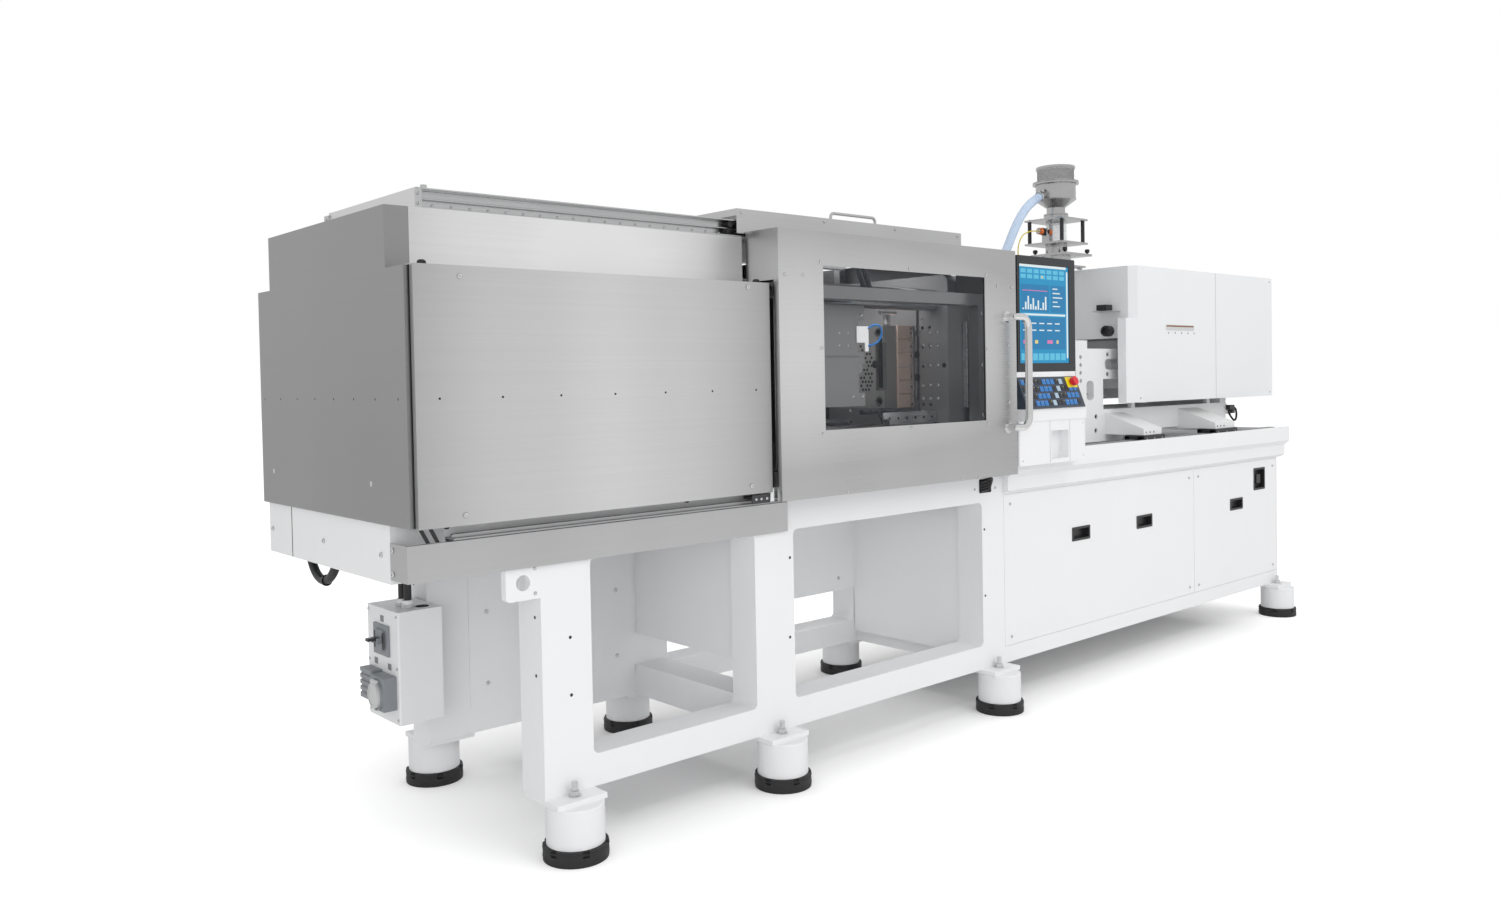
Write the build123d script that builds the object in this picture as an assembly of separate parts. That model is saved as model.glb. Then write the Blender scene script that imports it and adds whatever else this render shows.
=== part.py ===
from build123d import *
import math
import os

# Injection moulding machine with a toggle clamp, sliding doors and a hopper loader.
# Millimetres. X runs from the outer face of the end panel towards the injection side,
# Y is measured from the middle between the covers, and Z from the floor. Each written
# part is moved back by half the machine's length, so the origin is under its middle.

LENGTH = 4790.0

# Axis of screw, mould and tie bars, and the middle of the base
AXIS_Y = -55.0
AXIS_Z = 1252.0

# Fits
RUN = 0.05
LOOSE = 0.3
SNUG = 0.1

# Sheet metal
SHEET = 2.0

# Feet
PAD_R = 85.0
PAD_H = 40.0
FOOT_R = 76.0
FOOT_TOP = 141.0
PLATE_T = 14.0
FRAME_BOTTOM = FOOT_TOP + PLATE_T
FOOT_X = (442.0, 1174.0, 2255.0, 4548.0)
FOOT_OUT = 398.0
FOOT_PLATE_W = 150.0
FOOT_PLATE_IN = 122.0
FOOT_PLATE_OUT = 37.0
STUD_R = 8.0
STUD_UP = 38.0

# Clamp base
BASE_HALF = 377.0
BASE_FRONT = AXIS_Y - BASE_HALF
BASE_REAR = AXIS_Y + BASE_HALF
SIDE_T = 110.0
SIDE_X = (110.0, 2319.0)
LEG_W = (150.0, 158.0, 127.0)
BED_TOP = 880.0
BEAM_UNDER = 758.0
RAIL_TOP = 240.0
BAY_CORNER = 18.0
DECK_T = 12.0
DROP_X = (1480.0, 2090.0)
PANEL_T = 3.0
REAR_PANEL_UNDER = 372.0
LUG_W = 98.0
LUG_Z = (674.0, 762.0)
LUG_T = 22.0
LUG_HOLE_R = 20.0

# End beam and apron
END_BEAM_X = (10.0, 110.0)
END_BEAM_Y = (-352.0, 465.0)
END_BEAM_UNDER = 745.0
COVER_BOTTOM = 888.0
APRON_X = (9.0, 1220.0)
APRON_Y = -444.0
APRON_Z = (757.0, 845.0)

# Injection base
INJ_X = (2319.0, 4600.0)
INJ_TOP = 778.0
INJ_WALL = 40.0
SKIRT_Z = (215.0, 776.0)
SKIRT_SPLIT = (2321.0, 3750.0, 4588.0)
SKIRT_GAP = 2.0
PULL_X = (2832.0, 3318.0, 4162.0)
PULL_W = 116.0
PULL_Z = (560.0, 603.0)
LATCH_X = 4403.0
LATCH_W = 108.0
LATCH_Z = (637.0, 732.0)
PULL_DEPTH = 24.0
RIM_END = 4640.0
RIM_TOP = 931.0
RIM_OUT = 47.0
RIM_T = 12.0
DECK_TOP = 903.0

# Covers over the clamp
END_DEPTH = 61.0
END_HALF = 481.0
UPPER_HALF = 385.0
HOOD_HALF = 503.0
HOOD_X = (12.0, 1107.0)
HOOD_TOP = 1495.0
ROOF_TOP = 1641.0
UPPER_X1 = 1108.0
HOOD_FLANGE = 16.0
BOX_X = (100.0, 1085.0)
BOX_Y = (-345.0, 181.0)
BOX_TOP = 1696.0

# Top gate and its rails
GATE_X = (1090.0, 2155.0)
GATE_Y = (-385.0, 221.0)
GATE_Z = (1650.0, 1724.0)
GATE_RAIL_W = 34.0
GATE_RAIL_TOP = 1690.0
GATE_ROLLER_R = 9.0
GATE_END_FLANGE = 22.0

# Doors
DOOR_STEP = 25.0
DOOR_HALF = HOOD_HALF + DOOR_STEP
DOOR_GAP = 3.0
RAIL_IN = 50.0
RAIL_FOOT_W = 18.0
RAIL_BEAD_W = 10.0
RAIL_PLATE_T = 5.0
DOOR_X = (1121.0, 2278.0)
DOOR_Z = (860.0, 1655.0)
DOOR_T = 20.0
DOOR_RETURN_Z = 1505.0
WINDOW_X = (1305.0, 2097.0)
WINDOW_Z = (1059.0, 1553.0)
GLASS_T = 4.0
GLASS_LAP = 12.0
RAIL_Z = 852.0
RAIL_BEAD_TOP = 866.0
DOOR_RAIL_END = 2270.0
ROLLER_R = 8.0
ROLLER_W = 20.0
ROLLER_X = (1180.0, 2225.0)
HANGER_HALF = 20.0
HANDLE_X = 2219.0
HANDLE_GRIP_X = 2280.0
HANDLE_Z = (1029.0, 1418.0)
HANDLE_OUT = 50.0
HANDLE_R = 13.0
HANDLE_FLANGE = (21.0, 5.0)
HANDLE_BENDS = (18.0, 40.0, 40.0, 18.0)

# Opening behind the front door
HEADER_Y = (-485.0, -415.0)
HEADER_Z = (1460.0, 1500.0)
HEADER_WALL = 4.0
POST_X = (2116.0, 2156.0)
POST_Y = (-485.0, -441.0)
POST_LIFT = 30.0
POST_FOOT = (20.0, 40.0, 6.0)

# Platens and tie bars
PLATEN_HALF_Y = 300.0
PLATEN_HALF_Z = 327.0
REAR_PLATEN_X = (650.0, 800.0)
MOVING_PLATEN_X = (1260.0, 1460.0)
FIXED_PLATEN_X = (2110.0, 2260.0)
PLATEN_CORNER = 30.0
TIE_R = 40.0
TIE_OUT_Y = 230.0
TIE_OUT_Z = 238.0
TIE_X = (560.0, 2300.0)
NUT_R = 68.0
NUT_T = (60.0, 30.0)
REAR_WINDOW = (160.0, 170.0)
PLATEN_FOOT_IN = 60.0
PLATEN_FOOT_HALF = 50.0
SIDE_POCKET_OUT = 185.0
SIDE_POCKET = (75.0, 150.0, 110.0)
NOZZLE_POCKET = (75.0, 122.0)
NOZZLE_BORE_R = 45.0
FACE_SLOT_OUT = 161.0
FACE_SLOT = (14.0, 7.0, 240.0)
FACE_SLOT_EYE = (14.0, 120.0)
BOLT_HOLE = (6.0, 25.0)
BOLT_ROWS = (200.0, 17.0)
BOLT_HIGH = 210
BOLT_PITCH = 70
ROBOT_HOLE_R = 7.0
ROBOT_HOLE_DEEP = 35.0
ROBOT_SPACING = (100.0, 350.0)

# Toggle, at its open position
STROKE = 350.0
REAR_PIN_X = 870.0
REAR_PIN_UP = 278.0
FRONT_PIN_UP = 236.0
REAR_LINK = 245.0
FRONT_LINK = 400.0
OPEN_ANGLE = -103.0
CROSS_LINK = 205.0
CROSS_LUG = 150.0
CROSS_UP = 60.0
LINK_IN = 81.0
LINK_T = 28.0
LINK_GAP = 4.0
PIN_R = 20.0
EYE_R = 34.0
CROSS_PIN_R = 14.0
CROSS_EYE_R = 26.0
CROSS_HALF_Y = 44.0
CROSS_HALF_Z = 98.0
CROSS_HALF_X = 40.0
GUIDE_UP = 78.0
GUIDE_R = 12.0
SCREW_R = 22.0
DRIVE_X = (480.0, 520.0)
DRIVE_HALF = 140.0
DRIVE_UP = 130.0
DRIVE_FOOT = (120.0, 20.0)
CLAMP_SCREW_END = 1060.0
MOTOR_X = 180.0
MOTOR_CAP = 90.0
MOTOR_R = 92.0
MOTOR_STEP = 8.0
FAR_EYE = 0.86

# Mould
MOULD_HALF_Y = 125.0
MOULD_HALF_Z = 150.0
MOULD_THICK = 150.0
CLAMP_PLATE_T = 20.0
CLAMP_PLATE_OVER = 22.0
FIXED_MOULD_X = 1960.0
BROWN_X = (2031.0, 2098.0)
BROWN_STRIPS = 6
GUIDE_PIN_R = 12.0
GUIDE_PIN_LONG = 55.0
GUIDE_PIN_OUT = (100.0, 124.0)
CAVITY = (60.0, 70.0, 9.0)
SIDE_CAVITY = ((86.0, 131.0), 86.0, 18.0)
SPRUE_R = 4.0
RING_BORE_R = 20.0
STRIP_GROOVE = 1.5
EJECT_PLATE_X = (1130.0, 1155.0)
EJECT_PLATE_HALF_Z = 60.0
EJECT_ROD_R = 12.0
EJECT_ROD_OUT = 70.0
EJECT_TRAVEL = 100.0

# Cover sheet on the moving platen: its right edge steps in and out
COVER_START = 60.0
COVER_Z = (1121.0, 1454.0)
COVER_TABS = ((1121.0, 1165.0), (1260.0, 1300.0), (1406.0, 1454.0))
COVER_IN_X = 1638.0
COVER_OUT_X = 1668.0
COVER_RETURN = 24.0
COVER_BEAD = (8.0, 3.0, 1285.0)
COVER_BRACKET = ((1585.0, 1636.0), (1303.0, 1384.0))

# Power box and its sockets
POWER_BOX_X = (224.0, 360.0)
POWER_BOX_Y = (95.0, 303.0)
POWER_BOX_Z = (262.0, 582.0)
BREAKER_Y = (150.0, 250.0)
BREAKER_Z = (448.0, 536.0)
BREAKER_FRAME = (25.0, 14.0)
BREAKER_PIVOT = (203.0, 492.0)
BREAKER_EAR = (32.0, 4.0)
RIBBED_SOCKET = ((205.0, 285.0), (318.0, 405.0), 34.0)
SQUARE_SOCKET = ((112.0, 198.0), (305.0, 400.0), 40.0)
SOCKET_RIBS = (4, 18.0, 7.0)
LID_R = 36.0
LID_HINGE_UP = 40.0

# Injection unit
RAIL_OUT = 340.0
RAIL_W = 34.0
LINEAR_TOP = 928.0
LINEAR_X = (2900.0, 4630.0)
SHOE_TOP = 947.0
SHOE_X = ((3310.0, 3480.0), (3950.0, 4160.0))
SHOE_HALF = 45.0
CARRIAGE_X = (3160.0, 4500.0)
CARRIAGE_TOP = 1056.0
CARRIAGE_HALF = 195.0
CARRIAGE_T = 60.0
CARRIAGE_END = (60.0, 66.0)
BLOCK_END = 3516.0
BLOCK_SLOPE = 60.0
BLOCK_UNDER = 917.0
ARM_SLOPE = (1040.0, 974.0)
RIB_T = 26.0
CASTING_X = (3094.0, 3427.0)
CASTING_TOP = 1355.0
CASTING_LEDGE = (3184.0, 1320.0)
CASTING_NECK = (3307.0, 1188.0)
LUG_BOLTS = ((3346.0, 1295.0), (3344.0, 1209.0))
LUG_BOLT = (11.0, 18.0)
LUG_RECESS = ((3322.0, 1229.0), (1275.0, 34.0))
CASTING_POCKET = ((3176.0, 3232.0), (1098.0, 1182.0), 40.0)
CASTING_HOLES = (38.0, 1284.0, 34.0, 9.0)
BLOCK_HOLES = ((3248.0, 1026.0), (3246.0, 966.0))
REAR_CASTING_X = (4380.0, 4440.0)
REAR_CASTING_TOP = 1400.0
INJ_MOTOR = (220.0, 85.0)
BARREL_R = 55.0
BARREL_X0 = 2370.0
BARREL_CAP = (40.0, 40.0)
BORE_R = 18.0
BORE_START = 10.0
NOZZLE_TIP = 2180.0
NOZZLE_CONE = (25.0, 10.0)
NOZZLE_R = 24.0
NOZZLE_HOLE_R = 3.0
FEED_HOLE_R = 16.0
HEATER_R = 63.0
HEATER_COUNT = 5
HEATER_START = 20.0
HEATER_GAP = 14.0
SCREW_BACK = 22.0
SCREW_CONE = (30.0, 3.0)
DRIVE_PLATE_X = (3560.0, 3640.0)
DRIVE_PLATE_HALF = (190.0, 110.0)
SCREW_MOTOR = (180.0, 80.0)
ROD_OUT = 140.0
ROD_R = 22.0
INJ_COVER_X = (3363.0, 3435.0, 4790.0)
INJ_COVER_HALF = 274.0
INJ_COVER_Z = (1082.0, 1452.0, 1683.0)
INJ_COVER_CHAMFER = 30.0
INJ_COVER_WALL = 3.0
WING_RETURN = 40.0
COVER_LEG_IN = 120.0
COVER_LEG_W = 15.0

# Hopper loader
FEED_X = 3258.0
THROAT_R = 62.0
FEED_BORE_R = 30.0
LOADER_BASE_Z = 1745.0
LOADER_BASE_X = (3193.0, 3400.0)
LOADER_BASE_HALF = 90.0
LOADER_BASE_T = 10.0
SHUTTER_X = (3198.0, 3430.0)
SHUTTER_HALF = 40.0
SHUTTER_Z = (1690.0, 1698.0)
SHUTTER_KNOB = (25.0, 9.0)
NECK_OVER = (45.0, 52.0, 14.0)
PIPE_R = (47.0, 33.0)
FLANGE_HALF = 98.0
FLANGE_T = 8.0
LOW_FLANGE_Z = 1784.0
HIGH_FLANGE_Z = 1888.0
FLANGE_POST = (82.0, 7.0)
SIGHT_R = (46.0, 41.0)
COLLAR = (52.0, 26.0)
NECK = (40.0, 52.0)
DRUM = (86.0, 1981.0, 2050.0)
VESSEL_WALL = 6.0
VESSEL_RIM = (99.0, 8.0)
FILTER = (79.0, 2117.0)
LOADER_LID = (84.0, 11.0)
INLET_R = (17.0, 13.0)
INLET = ((78.0, 2009.0), (130.0, 1985.0))
SENSOR_IN = 92.0
SENSOR_UP = 46.0
SENSOR_R = 12.0
SENSOR_REACH = (46.0, 44.0)
CABLE_R = 2.5
CABLE_POINTS = 11
CABLE_BOW = 340.0
CABLE_RISE = 150.0
CABLE_END_X = 3112.0
HOSE_R = 19.0
HOSE_END = (2381.0, 1500.0)
HOSE_ROUTE_XZ = [
    (2990.0, 1890.0), (2935.0, 1818.0), (2886.0, 1738.0), (2828.0, 1660.0), (2750.0, 1592.0),
    (2655.0, 1542.0), (2550.0, 1514.0), (2460.0, 1500.0),
]

# Conduits of the power box and the loop under the end beam
BOX_HOSE_X = 280.0
BOX_HOSE_R = 11.0
BOX_HOSE_Y = (150.0, 186.0)
GLAND = (16.0, 22.0)
LOOP_HOSE_R = 12.0
LOOP_ROUTE = [
    (45, 262, COVER_BOTTOM - 6), (45, 262, 812), (43, 244, 742), (42, 204, 702), (42, 152, 688),
    (42, 100, 704), (43, 62, 742), (45, 44, 812), (45, 44, COVER_BOTTOM - 6),
]

# Console
CONSOLE_X = (2282.0, 2708.0)
CONSOLE_Z = (886.0, 1045.0)
CONSOLE_Y = -535.0
CONSOLE_POCKET = ((2479.0, 2592.0), (901.0, 1006.0), 38.0)
COLUMN_X = (2452.0, 2578.0)
COLUMN_Y = (4.0, 68.0)
COLUMN_UP = 180.0
SCREEN_X = (2327.0, 2700.0)
SCREEN_Z = (1224.0, 1648.0)
SCREEN_Y = -500.0
SCREEN_T = 58.0
GLASS_X = (2341.0, 2657.0)
GLASS_Z = (1256.0, 1617.0)
GLASS_DEEP = 3.0
KEYS_X = (2318.0, 2695.0)
KEYS_Z = (1090.0, 1205.0)
KEYS_SLOPE = 45.0
LEDGE_Z = (1045.0, 1089.0)
LEDGE_OUT = 4.0
STOP_X = 2652.0
STOP_SHARE = 0.8
STOP_STEM_R = 11.0
STOP_STEM = (-10.0, 8.0, 24.0)
STOP_HOLE = 16.0
STOP_R = 17.0


def block(x, y, z):
    """Box between a low and a high value on each axis."""
    size = [high - low for low, high in (x, y, z)]
    middle = [(high + low) / 2 for low, high in (x, y, z)]
    return Pos(*middle) * Box(*size)


def rod(start, end, radius):
    """Cylinder from one point to another."""
    line = Vector(*end) - Vector(*start)
    return extrude(Plane(origin=start, z_dir=line) * Circle(radius), line.length)


def outline(points):
    """Flat face from its corner points."""
    return make_face(Polyline(*points, close=True))


def along_x(face, x):
    """Face drawn in Y and Z, drawn out between two X values."""
    return extrude(Plane.YZ.offset(x[0]) * face, x[1] - x[0])


def along_y(face, y):
    """Face drawn in X and Z, drawn out between two Y values."""
    return extrude(Plane.XZ.offset(-y[1]) * face, y[1] - y[0])


def along_z(face, z):
    """Face drawn in X and Y, drawn out between two Z values."""
    return extrude(Plane.XY.offset(z[0]) * face, z[1] - z[0])


def rectangle(a, b):
    """Flat rectangle between low and high values."""
    return Pos((a[0] + a[1]) / 2, (b[0] + b[1]) / 2) * Rectangle(a[1] - a[0], b[1] - b[0])


def rounded(a, b, radius):
    """Flat rectangle with round corners between low and high values."""
    middle = Pos((a[0] + a[1]) / 2, (b[0] + b[1]) / 2)
    return middle * RectangleRounded(a[1] - a[0], b[1] - b[0], radius)


def grow(span, amount):
    """Low and high value moved apart, or together where the amount is negative."""
    return (span[0] - amount, span[1] + amount)


def across_axis(shape):
    """The same shape on the other side of the machine's axis."""
    return mirror(shape, about=Plane.XZ.offset(-AXIS_Y))


def across_middle(shape):
    """The same shape on the other side of the covers' middle."""
    return mirror(shape, about=Plane.XZ)


def upside_down(shape):
    """The same shape below the axis instead of above it."""
    return mirror(shape, about=Plane.XY.offset(AXIS_Z))


def both_sides(shape):
    """A shape and its mirror image across the axis."""
    return [shape, across_axis(shape)]


def about_axis(half):
    """Y values of a piece that is centred on the axis."""
    return (AXIS_Y - half, AXIS_Y + half)


def leg_spans():
    """X values of the three legs on each side."""
    inner = FOOT_X[1]
    return (
        (FOOT_X[0] - LEG_W[0] / 2, FOOT_X[0] + LEG_W[0] / 2),
        (inner - LEG_W[1] / 2, inner + LEG_W[1] / 2),
        (SIDE_X[1] - LEG_W[2], SIDE_X[1]),
    )


def foot_points():
    """Middle of each foot on the floor."""
    return [(x, AXIS_Y + side * FOOT_OUT) for x in FOOT_X for side in (-1, 1)]


def foot_plate(x, y):
    """Plate between a foot and its leg."""
    side = math.copysign(1, y - AXIS_Y)
    near = y - side * FOOT_PLATE_IN
    far = y + side * FOOT_PLATE_OUT
    wide = (x - FOOT_PLATE_W / 2, x + FOOT_PLATE_W / 2)
    return block(wide, (min(near, far), max(near, far)), (FOOT_TOP, FRAME_BOTTOM))


def foot_pads():
    """Rubber pads with a notched rim."""
    pads = []
    for x, y in foot_points():
        pad = rod((x, y, 0), (x, y, PAD_H), PAD_R)
        for number in range(6):
            turn = math.radians(60 * number + 15)
            spot = (x + PAD_R * math.cos(turn), y + PAD_R * math.sin(turn))
            pad -= rod((*spot, PAD_H - 16), (*spot, PAD_H), 9)
        pads.append(pad)
    return pads


def foot_cylinders():
    """Steel feet on the pads, chamfered at the top."""
    feet = []
    for x, y in foot_points():
        foot = rod((x, y, PAD_H), (x, y, FOOT_TOP), FOOT_R)
        feet.append(chamfer(foot.edges().group_by(Axis.Z)[-1], 3))
    return feet


def anchor_bolts():
    """Stud with washer and nut in front of each leg, in one piece each."""
    bolts = []
    for x, y in foot_points():
        stud = rod((x, y, FRAME_BOTTOM), (x, y, FRAME_BOTTOM + STUD_UP), STUD_R)
        stud += rod((x, y, FRAME_BOTTOM), (x, y, FRAME_BOTTOM + 3), 17)
        nut = Pos(x, y, FRAME_BOTTOM + 3) * extrude(RegularPolygon(14, 6), 12)
        bolts.append(stud + nut)
    return bolts


def side_frame():
    """Front side of the clamp base: legs and beams cut from one outline."""
    legs = leg_spans()
    corner = (legs[0][0], BEAM_UNDER)
    face = outline([
        (SIDE_X[0], BED_TOP), (SIDE_X[1], BED_TOP), (SIDE_X[1], FRAME_BOTTOM),
        (corner[0], FRAME_BOTTOM), corner, (SIDE_X[0], BEAM_UNDER),
    ])
    for left, right in zip(legs, legs[1:]):
        face -= rounded((left[1], right[0]), (RAIL_TOP, BEAM_UNDER), BAY_CORNER)
    return along_y(face, (BASE_FRONT, BASE_FRONT + SIDE_T))


def lifting_lug():
    """Plate with a hole, left of the first leg."""
    leg = leg_spans()[0][0]
    face = rounded((leg - LUG_W, leg), LUG_Z, 12)
    face -= Pos(leg - LUG_W / 2, sum(LUG_Z) / 2) * Circle(LUG_HOLE_R)
    face += rectangle((leg - 24, leg), LUG_Z)
    return along_y(face, (BASE_FRONT, BASE_FRONT + LUG_T))


def clamp_frame():
    """Welded frame under the clamp, with its foot plates and floor beams."""
    legs = leg_spans()
    inside = about_axis(BASE_HALF - SIDE_T)
    side = side_frame()
    frame = side + across_axis(side)
    frame += block(grow(legs[1], -20), inside, (FRAME_BOTTOM, RAIL_TOP + 18))
    frame += block(grow(legs[2], -20), inside, (FRAME_BOTTOM, FRAME_BOTTOM + 42))
    for x, y in foot_points()[:6]:
        frame += foot_plate(x, y)
    return frame


def clamp_bed():
    """Deck and its cross beams between the side frames, open under the mould."""
    legs = leg_spans()
    inside = about_axis(BASE_HALF - SIDE_T)
    deck_z = (BED_TOP - DECK_T, BED_TOP)
    deck = block((SIDE_X[0], DROP_X[0]), inside, deck_z)
    deck += block((DROP_X[1], SIDE_X[1]), inside, deck_z)
    for leg in legs:
        deck += block(leg, inside, (BED_TOP - 80, BED_TOP - DECK_T))
    deck += block((REAR_PLATEN_X[0] - 30, REAR_PLATEN_X[1] + 30), inside, (BED_TOP - 80, BED_TOP - DECK_T))
    return deck


def bay_panels():
    """Sheets that close the bays at the rear and across the frame."""
    legs = leg_spans()
    inside = about_axis(BASE_HALF - SIDE_T)
    sheet_y = (inside[1] - PANEL_T, inside[1])
    under = BED_TOP - 80
    left = block((legs[0][1] - 17, legs[1][0] + 17), sheet_y, (RAIL_TOP - 10, BED_TOP - DECK_T))
    cross_x = (legs[1][0] + 25, legs[1][0] + 25 + PANEL_T)
    wall_x = (legs[2][0] + 8, legs[2][0] + 8 + PANEL_T)
    between = (inside[0], inside[1] - PANEL_T)
    right = block((legs[1][1] - 8, wall_x[1]), sheet_y, (REAR_PANEL_UNDER, under))
    cross = block(cross_x, between, (REAR_PANEL_UNDER - 10, under))
    wall = block(wall_x, between, (FRAME_BOTTOM + 42, under))
    left -= block(legs[0], grow(sheet_y, 1), (under, BED_TOP))
    left -= block(legs[1], grow(sheet_y, 1), (under, BED_TOP))
    left -= block(grow(REAR_PLATEN_X, 30), grow(sheet_y, 1), (under, BED_TOP))
    return [left, right, cross, wall]


def end_beam():
    """White beam below the end panel, open downwards."""
    beam = block(END_BEAM_X, END_BEAM_Y, (END_BEAM_UNDER, COVER_BOTTOM))
    hollow = block(grow(END_BEAM_X, -6), grow(END_BEAM_Y, -6), (END_BEAM_UNDER, COVER_BOTTOM - 6))
    return beam - hollow


def apron():
    """Brushed strip in front of the bed, folded round the machine's end."""
    inner = BASE_FRONT
    strip = block(APRON_X, (APRON_Y, inner), APRON_Z)
    strip -= block((APRON_X[0] + SHEET, APRON_X[1] + 1), (APRON_Y + SHEET, inner), grow(APRON_Z, -SHEET))
    side = block((APRON_X[0], APRON_X[0] + SHEET), (inner, END_BEAM_Y[0]), APRON_Z)
    side -= block((END_BEAM_X[0], END_BEAM_X[1]), (END_BEAM_Y[0] - SHEET, END_BEAM_Y[0]), APRON_Z)
    return strip + side


def sloped_ledge():
    """Sloped strip from the apron's top edge up to the bed."""
    top = RAIL_Z
    face = outline([(APRON_Y, APRON_Z[1]), (BASE_FRONT, APRON_Z[1]), (BASE_FRONT, top)])
    return along_x(face, (SIDE_X[0], APRON_X[1]))


def skirt_holes(x_low, x_high):
    """Cut-outs for the pulls and the latch that lie between two X values."""
    spots = [(x, PULL_W, PULL_Z) for x in PULL_X] + [(LATCH_X, LATCH_W, LATCH_Z)]
    return [((x - w / 2, x + w / 2), z) for x, w, z in spots if x_low < x < x_high]


def injection_frame():
    """Closed welded base under the injection unit."""
    outside = (BASE_FRONT, BASE_REAR)
    frame = block(INJ_X, outside, (FRAME_BOTTOM, INJ_TOP))
    frame -= block(grow(INJ_X, -INJ_WALL), grow(outside, -INJ_WALL), (FRAME_BOTTOM + INJ_WALL, INJ_TOP - INJ_WALL))
    seat = block((SKIRT_SPLIT[0], SKIRT_SPLIT[-1]), (BASE_FRONT, BASE_FRONT + PANEL_T), SKIRT_Z)
    for x, z in skirt_holes(*INJ_X):
        seat += block(x, (BASE_FRONT, BASE_FRONT + PULL_DEPTH + 1), z)
    frame -= seat
    frame -= across_axis(seat)
    for x, y in foot_points()[6:]:
        frame += foot_plate(x, y)
    return frame


def skirt_panels():
    """Front panels of the injection base, seated in the frame."""
    panels = []
    for left, right in zip(SKIRT_SPLIT, SKIRT_SPLIT[1:]):
        x = (left + SKIRT_GAP, right - SKIRT_GAP)
        panel = block(x, (BASE_FRONT, BASE_FRONT + PANEL_T), grow(SKIRT_Z, -SKIRT_GAP))
        for hole_x, hole_z in skirt_holes(*x):
            panel -= block(hole_x, (BASE_FRONT - 1, BASE_FRONT + PANEL_T + 1), hole_z)
        panels.append(panel)
    return panels


def panel_pulls():
    """Recessed cups with a rim, for opening the panels."""
    cups = []
    for x, z in skirt_holes(*INJ_X):
        rim = along_y(rounded(grow(x, 6), grow(z, 6), 5), (BASE_FRONT - 2, BASE_FRONT))
        cup = rim + block(grow(x, -0.2), (BASE_FRONT, BASE_FRONT + PULL_DEPTH), grow(z, -0.2))
        cup -= along_y(rounded(grow(x, -3), grow(z, -3), 4), (BASE_FRONT - 2, BASE_FRONT + PULL_DEPTH - 3))
        cups.append(cup)
    return cups


def bed_rim():
    """Tray with a stepped rim on the injection base."""
    half = [
        (BASE_HALF, INJ_TOP), (BASE_HALF + 23, INJ_TOP + 14), (BASE_HALF + 23, INJ_TOP + 62),
        (BASE_HALF + RIM_OUT, INJ_TOP + 84), (BASE_HALF + RIM_OUT, RIM_TOP),
        (BASE_HALF + RIM_OUT - RIM_T, RIM_TOP), (BASE_HALF + RIM_OUT - RIM_T, DECK_TOP),
    ]
    left = [(AXIS_Y - y, z) for y, z in half]
    right = [(AXIS_Y + y, z) for y, z in reversed(half)]
    tray = along_x(outline(left + right), (INJ_X[0], RIM_END))
    tray -= block((INJ_X[0] - 1, RIM_END - 20), about_axis(BASE_HALF - 6), (INJ_TOP, DECK_TOP - 25))
    tray += block((RIM_END - 10, RIM_END), about_axis(BASE_HALF + RIM_OUT - RIM_T), (DECK_TOP, RIM_TOP - 8))
    return tray


def end_panel():
    """Folded sheet that closes the clamp end, wide below and narrow above."""
    step = HOOD_TOP - SHEET
    face = outline([
        (-END_HALF, COVER_BOTTOM), (END_HALF, COVER_BOTTOM), (END_HALF, step), (UPPER_HALF, step),
        (UPPER_HALF, ROOF_TOP), (-UPPER_HALF, ROOF_TOP), (-UPPER_HALF, step), (-END_HALF, step),
    ])
    shell = along_x(face, (0, END_DEPTH))
    shell -= along_x(offset(face, -SHEET, kind=Kind.INTERSECTION), (SHEET, END_DEPTH))
    return shell


def roof():
    """Roof sheet between the upper side panels."""
    return block((END_DEPTH, UPPER_X1), (-UPPER_HALF, UPPER_HALF), (ROOF_TOP - SHEET, ROOF_TOP))


def upper_panel():
    """Upper front panel, down behind the hood's top fold."""
    x = (END_DEPTH, UPPER_X1)
    z = (HOOD_TOP - 25, ROOF_TOP - SHEET)
    panel = block(x, (-UPPER_HALF, -UPPER_HALF + SHEET), z)
    return panel + block((UPPER_X1 - SHEET, UPPER_X1), (-UPPER_HALF, -UPPER_HALF + 20), z)


def hood():
    """Fixed front cover with folded edges."""
    z = (COVER_BOTTOM, HOOD_TOP)
    front = (-HOOD_HALF, -HOOD_HALF + SHEET)
    flange = (-HOOD_HALF, -HOOD_HALF + HOOD_FLANGE)
    cover = block(HOOD_X, front, z)
    cover += block((HOOD_X[0], HOOD_X[0] + SHEET), flange, z)
    cover += block((HOOD_X[1] - SHEET, HOOD_X[1]), flange, z)
    cover += block(HOOD_X, flange, (z[0], z[0] + SHEET))
    return cover + block(HOOD_X, (-HOOD_HALF, -UPPER_HALF), (z[1] - SHEET, z[1]))


def hood_supports():
    """Brackets that carry each hood's lower edge from the bed's side."""
    brackets = []
    for x in (200.0, 640.0, 1060.0):
        face = outline([
            (-HOOD_HALF + HOOD_FLANGE, COVER_BOTTOM), (BASE_FRONT + 30, COVER_BOTTOM),
            (BASE_FRONT + 30, BED_TOP), (BASE_FRONT + 36, BED_TOP),
            (BASE_FRONT + 36, COVER_BOTTOM + 6), (-HOOD_HALF + SHEET, COVER_BOTTOM + 6),
            (-HOOD_HALF + SHEET, COVER_BOTTOM + SHEET), (-HOOD_HALF + HOOD_FLANGE, COVER_BOTTOM + SHEET),
        ])
        brackets.append(along_x(face, (x - 20, x + 20)))
    return brackets


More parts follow.
